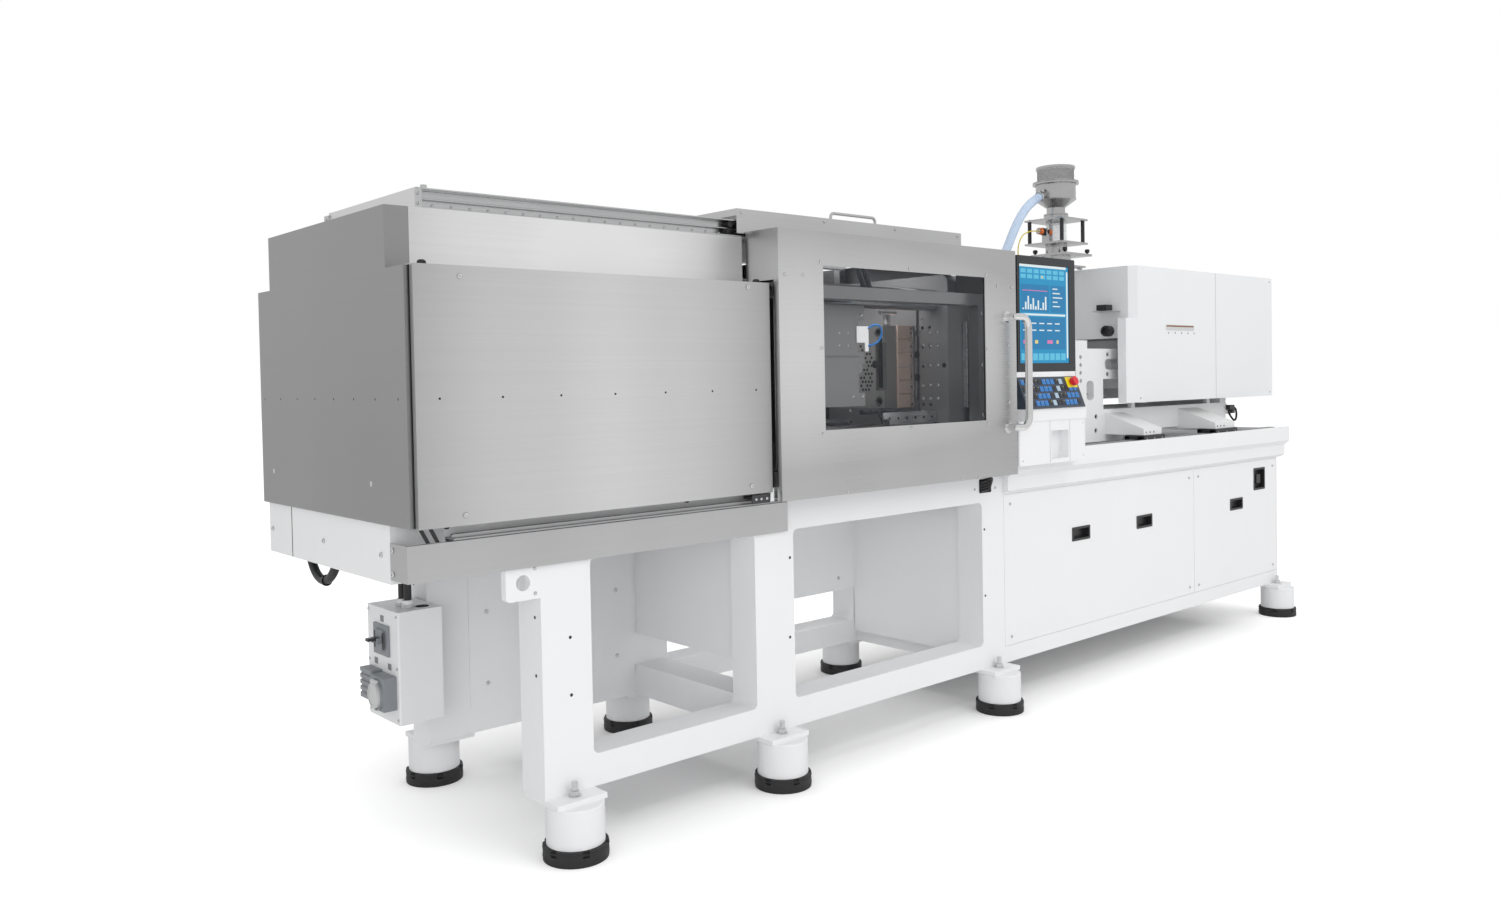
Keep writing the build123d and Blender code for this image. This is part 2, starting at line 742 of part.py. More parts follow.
def roof_box():
    """Raised box on the roof, open below."""
    shell = block(BOX_X, BOX_Y, (ROOF_TOP, BOX_TOP))
    return shell - block(grow(BOX_X, -SHEET), grow(BOX_Y, -SHEET), (ROOF_TOP, BOX_TOP - SHEET))


def gate_rail_face(y_out, y_in):
    """Section of a gate rail: two flanges and a middle lip on a web."""
    web = y_in - math.copysign(4, y_in - y_out)
    lip = y_in - (y_in - y_out) * 0.55
    z = (ROOF_TOP, GATE_RAIL_TOP)
    middle = (z[0] + z[1]) / 2
    return outline([
        (y_out, z[0]), (y_in, z[0]), (y_in, z[1]), (y_out, z[1]), (y_out, z[1] - 4), (web, z[1] - 4),
        (web, middle + 2), (lip, middle + 2), (lip, middle - 2), (web, middle - 2),
        (web, z[0] + 4), (y_out, z[0] + 4),
    ])


def gate_rails():
    """Two aluminium rails that carry the top gate."""
    x = (BOX_X[0], GATE_X[1])
    front = along_x(gate_rail_face(BOX_Y[0] - GATE_RAIL_W, BOX_Y[0]), x)
    rear = along_x(gate_rail_face(BOX_Y[1] + GATE_RAIL_W, BOX_Y[1]), x)
    return [front, rear]


def rail_posts():
    """Posts on the fixed platen under the right ends of the gate rails."""
    x = (FIXED_PLATEN_X[0] + 5, FIXED_PLATEN_X[0] + 40)
    z = (AXIS_Z + PLATEN_HALF_Z, ROOF_TOP)
    front = block(x, (BOX_Y[0] - GATE_RAIL_W + 4, BOX_Y[0]), z)
    rear = block(x, (BOX_Y[1], BOX_Y[1] + GATE_RAIL_W - 4), z)
    return [front, rear]


def gate_stops():
    """Black stops on the rails just left of the gate."""
    stops = []
    for y, side in ((BOX_Y[0] - GATE_RAIL_W, -1), (BOX_Y[1] + GATE_RAIL_W, 1)):
        x = BOX_X[0] + 12
        stops.append(rod((x, y - side * 16, GATE_RAIL_TOP), (x, y - side * 16, GATE_RAIL_TOP + 9), 8))
    return stops


def top_gate():
    """Sliding gate over the mould: a shallow tray, upside down, on rollers."""
    x, y, z = GATE_X, GATE_Y, GATE_Z
    gate = block(x, y, (z[1] - SHEET, z[1]))
    gate += block(x, (y[0], y[0] + SHEET), z)
    gate += block(x, (y[1] - SHEET, y[1]), z)
    for end in ((x[0], x[0] + SHEET), (x[1] - SHEET, x[1])):
        gate += block(end, y, (z[1] - GATE_END_FLANGE, z[1]))
    axle_z = GATE_RAIL_TOP + LOOSE + GATE_ROLLER_R
    for spot in (x[0] + 60, x[1] - 60):
        for skirt, side in ((y[0] + SHEET, 1), (y[1] - SHEET, -1)):
            gate += rod((spot, skirt, axle_z), (spot, skirt + side * 26, axle_z), GATE_ROLLER_R)
    return gate


def bent_tube(points, bend, radius):
    """Tube along straight runs with round corners."""
    path = FilletPolyline(*points, radius=bend)
    return sweep(Plane(origin=path @ 0, z_dir=path % 0) * Circle(radius), path=path)


def gate_handle():
    """Bail handle on the gate's front face, low and wide."""
    x = (1529.0, 1742.0)
    z = GATE_Z[1]
    y = GATE_Y[0] + 40
    points = [(x[0], y, z), (x[0], y, z + 26), (x[1], y, z + 26), (x[1], y, z)]
    return bent_tube(points, 14, 5)


def door():
    """Sliding door: folded front with a window, a return at the left and one on top."""
    x, z = DOOR_X, DOOR_Z
    front = (-DOOR_HALF, -DOOR_HALF + DOOR_T)
    leaf = block(x, front, z)
    leaf -= block(grow(x, -SHEET), (-DOOR_HALF + SHEET, -DOOR_HALF + DOOR_T), grow(z, -SHEET))
    leaf -= along_y(rectangle(WINDOW_X, WINDOW_Z), (-DOOR_HALF - 1, -DOOR_HALF + SHEET + 1))
    back = (-DOOR_HALF + DOOR_T, -UPPER_HALF - DOOR_GAP)
    leaf += block((x[0], x[0] + SHEET), back, (DOOR_RETURN_Z, z[1]))
    leaf += block(x, back, (z[1] - SHEET, z[1]))
    axle_z = RAIL_BEAD_TOP + LOOSE + ROLLER_R
    inner = -DOOR_HALF + RAIL_IN
    for spot in ROLLER_X:
        wide = (spot - HANGER_HALF, spot + HANGER_HALF)
        leaf += block(wide, (-DOOR_HALF + SHEET, inner), (z[0] + SHEET, axle_z + ROLLER_R))
        leaf += rod((spot, inner, axle_z), (spot, inner + ROLLER_W, axle_z), ROLLER_R)
    return leaf


def window_glass():
    """Pane behind the door's cut-out."""
    y = (-DOOR_HALF + SHEET, -DOOR_HALF + SHEET + GLASS_T)
    return block(grow(WINDOW_X, GLASS_LAP), y, grow(WINDOW_Z, GLASS_LAP))


def door_handle():
    """Bent tube handle that reaches past the door's edge."""
    out = -DOOR_HALF - HANDLE_OUT
    low, high = HANDLE_Z
    points = [
        (HANDLE_X, -DOOR_HALF, high), (HANDLE_X, out, high), (HANDLE_GRIP_X, out, high),
        (HANDLE_GRIP_X, out, low), (HANDLE_X, out, low), (HANDLE_X, -DOOR_HALF, low),
    ]
    grip = bent_tube(points, list(HANDLE_BENDS), HANDLE_R)
    radius, thick = HANDLE_FLANGE
    for z in HANDLE_Z:
        grip += rod((HANDLE_X, -DOOR_HALF - thick, z), (HANDLE_X, -DOOR_HALF, z), radius)
    return grip


def door_rail(side, base_y):
    """Lower rail of one door, from its bead in to the base's side."""
    out = side * (DOOR_HALF - RAIL_IN)
    bead = (out - side * (RAIL_FOOT_W - RAIL_BEAD_W), out - side * RAIL_FOOT_W)
    top = RAIL_Z + RAIL_PLATE_T
    face = outline([
        (out, RAIL_Z), (base_y, RAIL_Z), (base_y, top), (bead[1], top),
        (bead[1], RAIL_BEAD_TOP), (bead[0], RAIL_BEAD_TOP), (bead[0], top), (out, top),
    ])
    return along_x(face, (SIDE_X[0], DOOR_RAIL_END))


def header_channel():
    """Grey channel above the window, behind the door."""
    x = (UPPER_X1 + 30, FIXED_PLATEN_X[0] + 50)
    y, z = HEADER_Y, HEADER_Z
    under = (z[0], z[1] - HEADER_WALL)
    channel = block(x, y, z) - block(x, grow(y, -HEADER_WALL), under)
    channel += block((x[1] - 40, x[1]), (y[1], AXIS_Y - PLATEN_HALF_Y), (under[1], z[1]))
    return channel


def door_post():
    """Dark post at the right of the opening, from the bed up to the header."""
    x, y = POST_X, POST_Y
    bottom = RAIL_BEAD_TOP + POST_LIFT
    near, far, thick = POST_FOOT
    post = block(x, y, (bottom, HEADER_Z[0]))
    inside_y = (y[0] + HEADER_WALL, y[1] + 1)
    post -= block((x[0] + HEADER_WALL, x[1] + 1), inside_y, (bottom, HEADER_Z[0]))
    foot = block(x, (y[0], BASE_FRONT + far), (bottom, bottom + thick))
    foot += block(x, (BASE_FRONT + near, BASE_FRONT + far), (BED_TOP, bottom + thick))
    return post + foot


def platen_face():
    """Outline of a platen with its four tie bar holes."""
    wide = about_axis(PLATEN_HALF_Y)
    high = (AXIS_Z - PLATEN_HALF_Z, AXIS_Z + PLATEN_HALF_Z)
    return rounded(wide, high, PLATEN_CORNER)


def tie_points():
    """Tie bar centres in Y and Z."""
    return [(AXIS_Y + y * TIE_OUT_Y, AXIS_Z + z * TIE_OUT_Z) for y in (-1, 1) for z in (-1, 1)]


def platen(x, clearance):
    """Platen block with tie bar holes."""
    face = platen_face()
    for y, z in tie_points():
        face -= Pos(y, z) * Circle(TIE_R + clearance)
    return along_x(face, x)


def lug(pin_x, pin_up, face_x, inner):
    """Toggle lug above the axis, on the front side, from a platen face to its pin."""
    y = (AXIS_Y - inner - LINK_T, AXIS_Y - inner)
    z = AXIS_Z + pin_up
    ear = along_y(Pos(pin_x, z) * Circle(EYE_R), y)
    low, high = sorted((face_x, pin_x))
    return ear + block((low, high), y, (z - EYE_R, z + EYE_R))


def toggle_pins(pin_x, pin_up):
    """Pin through a lug and its link, above the axis on the front side."""
    z = AXIS_Z + pin_up
    far = AXIS_Y - LINK_IN - 2 * LINK_T - LINK_GAP
    return rod((pin_x, far, z), (pin_x, AXIS_Y - LINK_IN, z), PIN_R)


def four_times(shape):
    """A shape on both sides of the axis, above and below it."""
    pair = [shape, across_axis(shape)]
    return pair + [upside_down(item) for item in pair]


def front_pin_x():
    """X of the moving platen's toggle pins at the open position."""
    knee = knee_point()
    rise = AXIS_Z + FRONT_PIN_UP - knee[1]
    return knee[0] + math.sqrt(FRONT_LINK ** 2 - rise ** 2)


def knee_point():
    """X and Z of the upper knee at the open position."""
    turn = math.radians(OPEN_ANGLE)
    return (REAR_PIN_X + REAR_LINK * math.cos(turn), AXIS_Z + REAR_PIN_UP + REAR_LINK * math.sin(turn))


def cross_lug_point():
    """X and Z of the crosshead link's eye on the upper rear link."""
    turn = math.radians(OPEN_ANGLE)
    return (REAR_PIN_X + CROSS_LUG * math.cos(turn), AXIS_Z + REAR_PIN_UP + CROSS_LUG * math.sin(turn))


def crosshead_x():
    """X of the crosshead's pins at the open position."""
    x, z = cross_lug_point()
    rise = z - AXIS_Z - CROSS_UP
    return x - math.sqrt(CROSS_LINK ** 2 - rise ** 2)


def link(start, end, y, pin_r, eye_r):
    """Flat link with a hole at its first end, between two points in X and Z."""
    body = along_y(make_hull([
        *(Pos(*start) * Circle(eye_r)).edges(), *(Pos(*end) * Circle(eye_r * FAR_EYE)).edges(),
    ]), y)
    return body - along_y(Pos(*start) * Circle(pin_r), grow(y, 1))


def link_pair(start, end, inner, thick, pin_r, eye_r):
    """Two upper links, one on each side of the axis."""
    y = (AXIS_Y - inner - thick, AXIS_Y - inner)
    return both_sides(link(start, end, y, pin_r, eye_r))


def rear_links():
    """Upper pair of links on the rear platen."""
    start = (REAR_PIN_X, AXIS_Z + REAR_PIN_UP)
    return link_pair(start, knee_point(), LINK_IN, LINK_T, PIN_R + RUN, EYE_R)


def front_links():
    """Upper pair of links on the moving platen."""
    start = (front_pin_x(), AXIS_Z + FRONT_PIN_UP)
    inner = LINK_IN + LINK_T + LINK_GAP
    return link_pair(start, knee_point(), inner, LINK_T, PIN_R + RUN, EYE_R)


def cross_links():
    """Upper pair of short links on the crosshead."""
    start = (crosshead_x(), AXIS_Z + CROSS_UP)
    inner = CROSS_HALF_Y + LINK_GAP
    return link_pair(start, cross_lug_point(), inner, LINK_T, CROSS_PIN_R + RUN, CROSS_EYE_R)


def foot_sides():
    """Y values of a platen's two feet."""
    middles = [AXIS_Y + side * (PLATEN_HALF_Y - PLATEN_FOOT_IN) for side in (-1, 1)]
    return [(y - PLATEN_FOOT_HALF, y + PLATEN_FOOT_HALF) for y in middles]


def rear_platen():
    """Toggle platen with lugs, feet on the bed and a window for the crosshead."""
    body = platen(REAR_PLATEN_X, SNUG)
    body -= block(grow(REAR_PLATEN_X, 1), about_axis(REAR_WINDOW[0]),
                  (AXIS_Z - REAR_WINDOW[1], AXIS_Z + REAR_WINDOW[1]))
    for y in foot_sides():
        body += block(REAR_PLATEN_X, y, (BED_TOP, AXIS_Z - PLATEN_HALF_Z + 1))
    inner = LINK_IN + LINK_T + LINK_GAP
    ears = lug(REAR_PIN_X, REAR_PIN_UP, REAR_PLATEN_X[1], inner) + toggle_pins(REAR_PIN_X, REAR_PIN_UP)
    for ear in four_times(ears):
        body += ear
    return body


def moving_platen():
    """Moving platen with lugs at the back and sliding shoes on the bed."""
    body = platen(MOVING_PLATEN_X, RUN)
    back = MOVING_PLATEN_X[0]
    half_y, half_z, deep = SIDE_POCKET
    for y in foot_sides():
        body += block(MOVING_PLATEN_X, y, (BED_TOP + LOOSE, AXIS_Z - PLATEN_HALF_Z + 1))
    for side in (-1, 1):
        y = AXIS_Y + side * SIDE_POCKET_OUT
        body -= block((back - 1, back + deep), (y - half_y, y + half_y), (AXIS_Z - half_z, AXIS_Z + half_z))
    for y in (-EJECT_ROD_OUT, EJECT_ROD_OUT):
        start = (back - 1, AXIS_Y + y, AXIS_Z)
        body -= rod(start, (MOVING_PLATEN_X[1] + 1, *start[1:]), EJECT_ROD_R + LOOSE)
    ears = lug(front_pin_x(), FRONT_PIN_UP, back, LINK_IN) + toggle_pins(front_pin_x(), FRONT_PIN_UP)
    for ear in four_times(ears):
        body += ear
    return body


def fixed_platen():
    """Fixed platen with feet, a nozzle bore and rows of mould bolt holes."""
    body = platen(FIXED_PLATEN_X, SNUG)
    for y in foot_sides():
        body += block(FIXED_PLATEN_X, y, (BED_TOP, AXIS_Z - PLATEN_HALF_Z + 1))
    front, back = FIXED_PLATEN_X
    pocket_r, pocket_deep = NOZZLE_POCKET
    body -= rod((back + 1 - pocket_deep, AXIS_Y, AXIS_Z), (back + 1, AXIS_Y, AXIS_Z), pocket_r)
    body -= rod((front - 1, AXIS_Y, AXIS_Z), (back + 1, AXIS_Y, AXIS_Z), NOZZLE_BORE_R)
    slot_y = AXIS_Y - FACE_SLOT_OUT
    deep, half_wide, half_high = FACE_SLOT
    slot_z = (AXIS_Z - half_high, AXIS_Z + half_high)
    body -= block((front - 1, front + deep), (slot_y - half_wide, slot_y + half_wide), slot_z)
    for z in (-FACE_SLOT_EYE[1], FACE_SLOT_EYE[1]):
        body -= rod((front - 1, slot_y, AXIS_Z + z), (front + deep, slot_y, AXIS_Z + z), FACE_SLOT_EYE[0])
    for y, z in mould_bolt_points():
        body -= rod((front - 1, y, z), (front + BOLT_HOLE[1], y, z), BOLT_HOLE[0])
    top = AXIS_Z + PLATEN_HALF_Z
    for x, y in robot_holes():
        body -= rod((x, y, top - ROBOT_HOLE_DEEP), (x, y, top + 1), ROBOT_HOLE_R)
    return body


def mould_bolt_points():
    """Centres of the mould bolt holes in Y and Z."""
    out, half = BOLT_ROWS
    columns = [AXIS_Y + a * out + b * half for a in (-1, 1) for b in (-1, 1)]
    return [(y, AXIS_Z + z) for y in columns for z in range(-BOLT_HIGH, BOLT_HIGH + 1, BOLT_PITCH)]


def robot_holes():
    """Tapped holes on top of the fixed platen, for a part picker."""
    middle = sum(FIXED_PLATEN_X) / 2
    half_x, half_y = ROBOT_SPACING[0] / 2, ROBOT_SPACING[1] / 2
    return [(middle + a * half_x, AXIS_Y + b * half_y) for a in (-1, 1) for b in (-1, 1)]


def tie_bars():
    """Four ground bars between the platens."""
    return [rod((TIE_X[0], y, z), (TIE_X[1], y, z), TIE_R) for y, z in tie_points()]


def tie_bar_nuts():
    """Nuts behind the rear platen and in front of the fixed one."""
    nuts = []
    rear_t, fixed_t = NUT_T
    for y, z in tie_points():
        for start, thick in ((REAR_PLATEN_X[0] - rear_t, rear_t), (FIXED_PLATEN_X[1], fixed_t)):
            nut = rod((start, y, z), (start + thick, y, z), NUT_R)
            nuts.append(nut - rod((start - 1, y, z), (start + thick + 1, y, z), TIE_R + SNUG))
    return nuts


def crosshead():
    """Block on the clamp screw with pins for the short links."""
    x = crosshead_x()
    body = block((x - CROSS_HALF_X, x + CROSS_HALF_X), about_axis(CROSS_HALF_Y),
                 (AXIS_Z - CROSS_HALF_Z, AXIS_Z + CROSS_HALF_Z))
    ends = grow((x - CROSS_HALF_X, x + CROSS_HALF_X), 1)
    for up, radius in ((-GUIDE_UP, GUIDE_R + RUN), (0, SCREW_R + RUN), (GUIDE_UP, GUIDE_R + RUN)):
        body -= rod((ends[0], AXIS_Y, AXIS_Z + up), (ends[1], AXIS_Y, AXIS_Z + up), radius)
    reach = CROSS_HALF_Y + LINK_GAP + LINK_T
    for up in (-CROSS_UP, CROSS_UP):
        for side in (-1, 1):
            start = (x, AXIS_Y + side * CROSS_HALF_Y, AXIS_Z + up)
            body += rod(start, (x, AXIS_Y + side * reach, AXIS_Z + up), CROSS_PIN_R)
    return body


def clamp_drive():
    """Plate on the bed for the screw's bearing and the motor, its foot and two guide rods."""
    length, thick = DRIVE_FOOT
    plate = block(DRIVE_X, about_axis(DRIVE_HALF), (BED_TOP, AXIS_Z + DRIVE_UP))
    plate -= rod((DRIVE_X[0] - 1, AXIS_Y, AXIS_Z), (DRIVE_X[1] + 1, AXIS_Y, AXIS_Z), SCREW_R + RUN)
    foot = block((DRIVE_X[0] - length, DRIVE_X[0]), about_axis(DRIVE_HALF), (BED_TOP, BED_TOP + thick))
    guides = [
        rod((DRIVE_X[1], AXIS_Y, AXIS_Z + up), (CLAMP_SCREW_END, AXIS_Y, AXIS_Z + up), GUIDE_R)
        for up in (-GUIDE_UP, GUIDE_UP)
    ]
    return [plate, foot, *guides]


def clamp_motor():
    """Servo motor of the clamp with an end cap."""
    start = MOTOR_X + MOTOR_CAP
    slim = MOTOR_R - MOTOR_STEP
    body = along_x(rounded(about_axis(MOTOR_R), (AXIS_Z - MOTOR_R, AXIS_Z + MOTOR_R), 22), (start, DRIVE_X[0]))
    cap = along_x(rounded(about_axis(slim), (AXIS_Z - slim, AXIS_Z + slim), 18), (MOTOR_X, start))
    return [body, cap]


def clamp_screw():
    """Ball screw of the clamp."""
    return rod((DRIVE_X[0] + LOOSE, AXIS_Y, AXIS_Z), (CLAMP_SCREW_END, AXIS_Y, AXIS_Z), SCREW_R)


def mould_y(over=0.0):
    """Y values of the mould."""
    return about_axis(MOULD_HALF_Y + over)


def mould_z(over=0.0):
    """Z values of the mould."""
    return (AXIS_Z - MOULD_HALF_Z - over, AXIS_Z + MOULD_HALF_Z + over)


def guide_pin_points():
    """Centres of the mould's guide pins in Y and Z."""
    out_y, out_z = GUIDE_PIN_OUT
    return [(AXIS_Y + a * out_y, AXIS_Z + b * out_z) for a in (-1, 1) for b in (-1, 1)]


def moving_mould():
    """Moving mould half on its clamping plate, with guide pins."""
    x0 = MOVING_PLATEN_X[1]
    parting = x0 + MOULD_THICK
    half_y, half_z, deep = CAVITY
    plate = block((x0, x0 + CLAMP_PLATE_T), mould_y(CLAMP_PLATE_OVER), mould_z())
    half = block((x0 + CLAMP_PLATE_T, parting), mould_y(), mould_z())
    half -= block((parting - deep, parting + 1), about_axis(half_y), (AXIS_Z - half_z, AXIS_Z + half_z))
    for y in (-EJECT_ROD_OUT, EJECT_ROD_OUT):
        start = (x0 - 1, AXIS_Y + y, AXIS_Z)
        bore = rod(start, (x0 + EJECT_TRAVEL + 20, *start[1:]), EJECT_ROD_R + LOOSE)
        plate -= bore
        half -= bore
    pins = [rod((parting, y, z), (parting + GUIDE_PIN_LONG, y, z), GUIDE_PIN_R) for y, z in guide_pin_points()]
    return [plate, half, *pins]


def fixed_mould():
    """Fixed mould half with its bushes and a core, and its clamping plate."""
    x = (FIXED_MOULD_X, BROWN_X[0])
    half = block(x, mould_y(), mould_z())
    for y, z in guide_pin_points():
        half -= rod((x[0] - 1, y, z), (x[0] + GUIDE_PIN_LONG + 6, y, z), GUIDE_PIN_R + RUN)
    half -= rod((x[0] - 1, AXIS_Y, AXIS_Z), (x[1] + 1, AXIS_Y, AXIS_Z), SPRUE_R)
    (near, far), half_z, deep = SIDE_CAVITY
    half -= block((x[0] - 1, x[0] + deep), (AXIS_Y - far, AXIS_Y - near), (AXIS_Z - half_z, AXIS_Z + half_z))
    plate = block((BROWN_X[1], FIXED_PLATEN_X[0]), mould_y(CLAMP_PLATE_OVER), mould_z())
    plate -= rod((BROWN_X[1] - 1, AXIS_Y, AXIS_Z), (FIXED_PLATEN_X[0] + 1, AXIS_Y, AXIS_Z), RING_BORE_R)
    return [half, plate]


def insulating_plate():
    """Brown plate behind the fixed mould half, grooved between its strips."""
    plate = block(BROWN_X, mould_y(8), mould_z())
    plate -= rod((BROWN_X[0] - 1, AXIS_Y, AXIS_Z), (BROWN_X[1] + 1, AXIS_Y, AXIS_Z), RING_BORE_R)
    low, high = mould_z()
    step = (high - low) / BROWN_STRIPS
    groove_y = (AXIS_Y - MOULD_HALF_Y - 9, AXIS_Y - MOULD_HALF_Y - 5)
    for number in range(1, BROWN_STRIPS):
        z = low + number * step
        plate -= block(grow(BROWN_X, 1), groove_y, (z - STRIP_GROOVE, z + STRIP_GROOVE))
    return plate


def ejector():
    """Ejector plate behind the moving platen with its two rods."""
    high = (AXIS_Z - EJECT_PLATE_HALF_Z, AXIS_Z + EJECT_PLATE_HALF_Z)
    plate = along_x(rounded(about_axis(EJECT_ROD_OUT + 25), high, 12), EJECT_PLATE_X)
    for y in (-EJECT_ROD_OUT, EJECT_ROD_OUT):
        start = (EJECT_PLATE_X[1] - 1, AXIS_Y + y, AXIS_Z)
        plate += rod(start, (MOVING_PLATEN_X[1] + 12, *start[1:]), EJECT_ROD_R)
    return plate


def platen_cover():
    """Folded cover sheet on the moving platen's front side, with tabs on its right edge."""
    y = AXIS_Y - PLATEN_HALF_Y
    x = (MOVING_PLATEN_X[1] - COVER_START, COVER_IN_X)
    deep, high, fold_z = COVER_BEAD
    sheet = block(x, (y - SHEET, y), COVER_Z)
    sheet += block((x[1] - SHEET, x[1]), (y, y + COVER_RETURN), COVER_Z)
    sheet += block(x, (y - deep, y), (fold_z - high / 2, fold_z + high / 2))
    for z in COVER_TABS:
        sheet += block((x[1], COVER_OUT_X), (y - SHEET, y), z)
        sheet += block((COVER_OUT_X - SHEET, COVER_OUT_X), (y, y + COVER_RETURN), z)
    bracket_x, bracket_z = COVER_BRACKET
    return sheet + block(bracket_x, (y, y + SHEET + 1), bracket_z)


def power_box():
    """Electrical box on the rear left leg, with glands on top."""
    leg = leg_spans()[0][0]
    gland_r, gland_h = GLAND
    top = POWER_BOX_Z[1]
    body = block(POWER_BOX_X, POWER_BOX_Y, POWER_BOX_Z)
    body = fillet(body.edges().filter_by(Axis.Z), 6)
    mount = block((POWER_BOX_X[1], leg), (BASE_REAR - SIDE_T, POWER_BOX_Y[1]), grow(POWER_BOX_Z, -60))
    for y in BOX_HOSE_Y:
        body += rod((BOX_HOSE_X, y, top), (BOX_HOSE_X, y, top + gland_h), gland_r)
    return body + mount


def breaker_ears():
    """Y values of the two ears that hold the breaker's toggle."""
    middle = sum(BREAKER_Y) / 2
    pitch, thick = BREAKER_EAR
    low = middle - pitch / 2 - thick / 2
    return [(low + number * pitch, low + number * pitch + thick) for number in (0, 1)]


def breaker_plate():
    """Plate with the breaker's frame on the power box."""
    x = (POWER_BOX_X[0] - 6, POWER_BOX_X[0])
    in_y, in_z = BREAKER_FRAME
    plate = block(x, BREAKER_Y, BREAKER_Z)
    plate += block((x[0] - 6, x[0]), grow(BREAKER_Y, -in_y), grow(BREAKER_Z, -in_z))
    for y in breaker_ears():
        plate += block((x[0] - 20, x[0] - 6), y, (BREAKER_PIVOT[1] - 8, BREAKER_PIVOT[1] + 8))
    return plate


def breaker_lever():
    """Black toggle between the breaker's ears."""
    x, z = BREAKER_PIVOT
    low, high = breaker_ears()
    between = (low[1] + LOOSE, high[0] - LOOSE)
    lever = rod((x, between[0], z), (x, between[1], z), 5)
    return lever + block((x - 26, x), grow(between, -4), (z + 1, z + 9))


def sockets():
    """Round and square power sockets on the box."""
    x0 = POWER_BOX_X[0]
    y, z, deep = RIBBED_SOCKET
    count, pitch, high = SOCKET_RIBS
    ribbed = block((x0 - deep, x0), y, z)
    for number in range(count):
        low = z[0] + 14 + number * pitch
        ribbed -= block((x0 - deep - 1, x0 - deep + 4), grow(y, 1), (low, low + high))
    y, z, deep = SQUARE_SOCKET
    return [ribbed, block((x0 - deep, x0), y, z)]


def socket_lid():
    """Round spring lid over the square socket."""
    y, z, deep = SQUARE_SOCKET
    x = POWER_BOX_X[0] - deep
    middle = (sum(y) / 2, sum(z) / 2 - 4.5)
    lid = rod((x - 12, *middle), (x - LOOSE, *middle), LID_R)
    hinge_z = middle[1] + LID_HINGE_UP
    lid += block((x - 12, x - 2), (middle[0] - 16, middle[0] + 16), (hinge_z - 20, hinge_z))
    return lid + rod((x - 7, middle[0] - 18, hinge_z), (x - 7, middle[0] + 18, hinge_z), 5)


def bearing_shoes():
    """Bearing blocks that ride on the linear rails."""
    shoes = []
    for x in SHOE_X:
        for side in (-1, 1):
            y = AXIS_Y + side * RAIL_OUT
            shoe = block(x, (y - SHOE_HALF, y + SHOE_HALF), (DECK_TOP + 8, SHOE_TOP))
            slot = block(grow(x, 1), (y - RAIL_W / 2 - RUN, y + RAIL_W / 2 + RUN), (DECK_TOP, LINEAR_TOP + RUN))
            shoes.append(shoe - slot)
    return shoes


def linear_rails():
    """Two linear rails on the injection bed."""
    rails = []
    for side in (-1, 1):
        y = AXIS_Y + side * RAIL_OUT
        rails.append(block(LINEAR_X, (y - RAIL_W / 2, y + RAIL_W / 2), (DECK_TOP, LINEAR_TOP)))
    return rails


def carriage():
    """White carriage: a ribbed plate with a deep front block and sloped arms to the bearing blocks."""
    x0, x1 = CARRIAGE_X
    low = CARRIAGE_TOP - CARRIAGE_T
    back, down = CARRIAGE_END
    side = outline([
        (x0, BLOCK_UNDER), (BLOCK_END - BLOCK_SLOPE, BLOCK_UNDER), (BLOCK_END, low), (x1, low),
        (x1, CARRIAGE_TOP - down + 10), (x1 - back, CARRIAGE_TOP), (x0, CARRIAGE_TOP),
    ])
    plate = along_y(side, about_axis(CARRIAGE_HALF))
    reach = RAIL_OUT + SHOE_HALF - 8
    near, far = ARM_SLOPE
    half = [(reach, SHOE_TOP), (reach, far), (CARRIAGE_HALF, near)]
    left = [(AXIS_Y - y, z) for y, z in half]
    right = [(AXIS_Y + y, z) for y, z in reversed(half)]
    for x in SHOE_X:
        plate += along_x(outline(left + right), grow(x, -10))
    rib = block(grow(CARRIAGE_X, -60), (AXIS_Y - CARRIAGE_HALF, AXIS_Y - CARRIAGE_HALF + RIB_T),
                (SHOE_TOP + 8, low))
    plate = plate + rib + across_axis(rib)
    for x, z in BLOCK_HOLES:
        plate -= side_holes(x, z, *LUG_BOLT)
    return plate


def side_holes(x, z, radius, deep):
    """Blind holes from both sides of the carriage or the casting."""
    edge = AXIS_Y - CARRIAGE_HALF
    hole = rod((x, edge - 1, z), (x, edge + deep, z), radius)
    return hole + across_axis(hole)


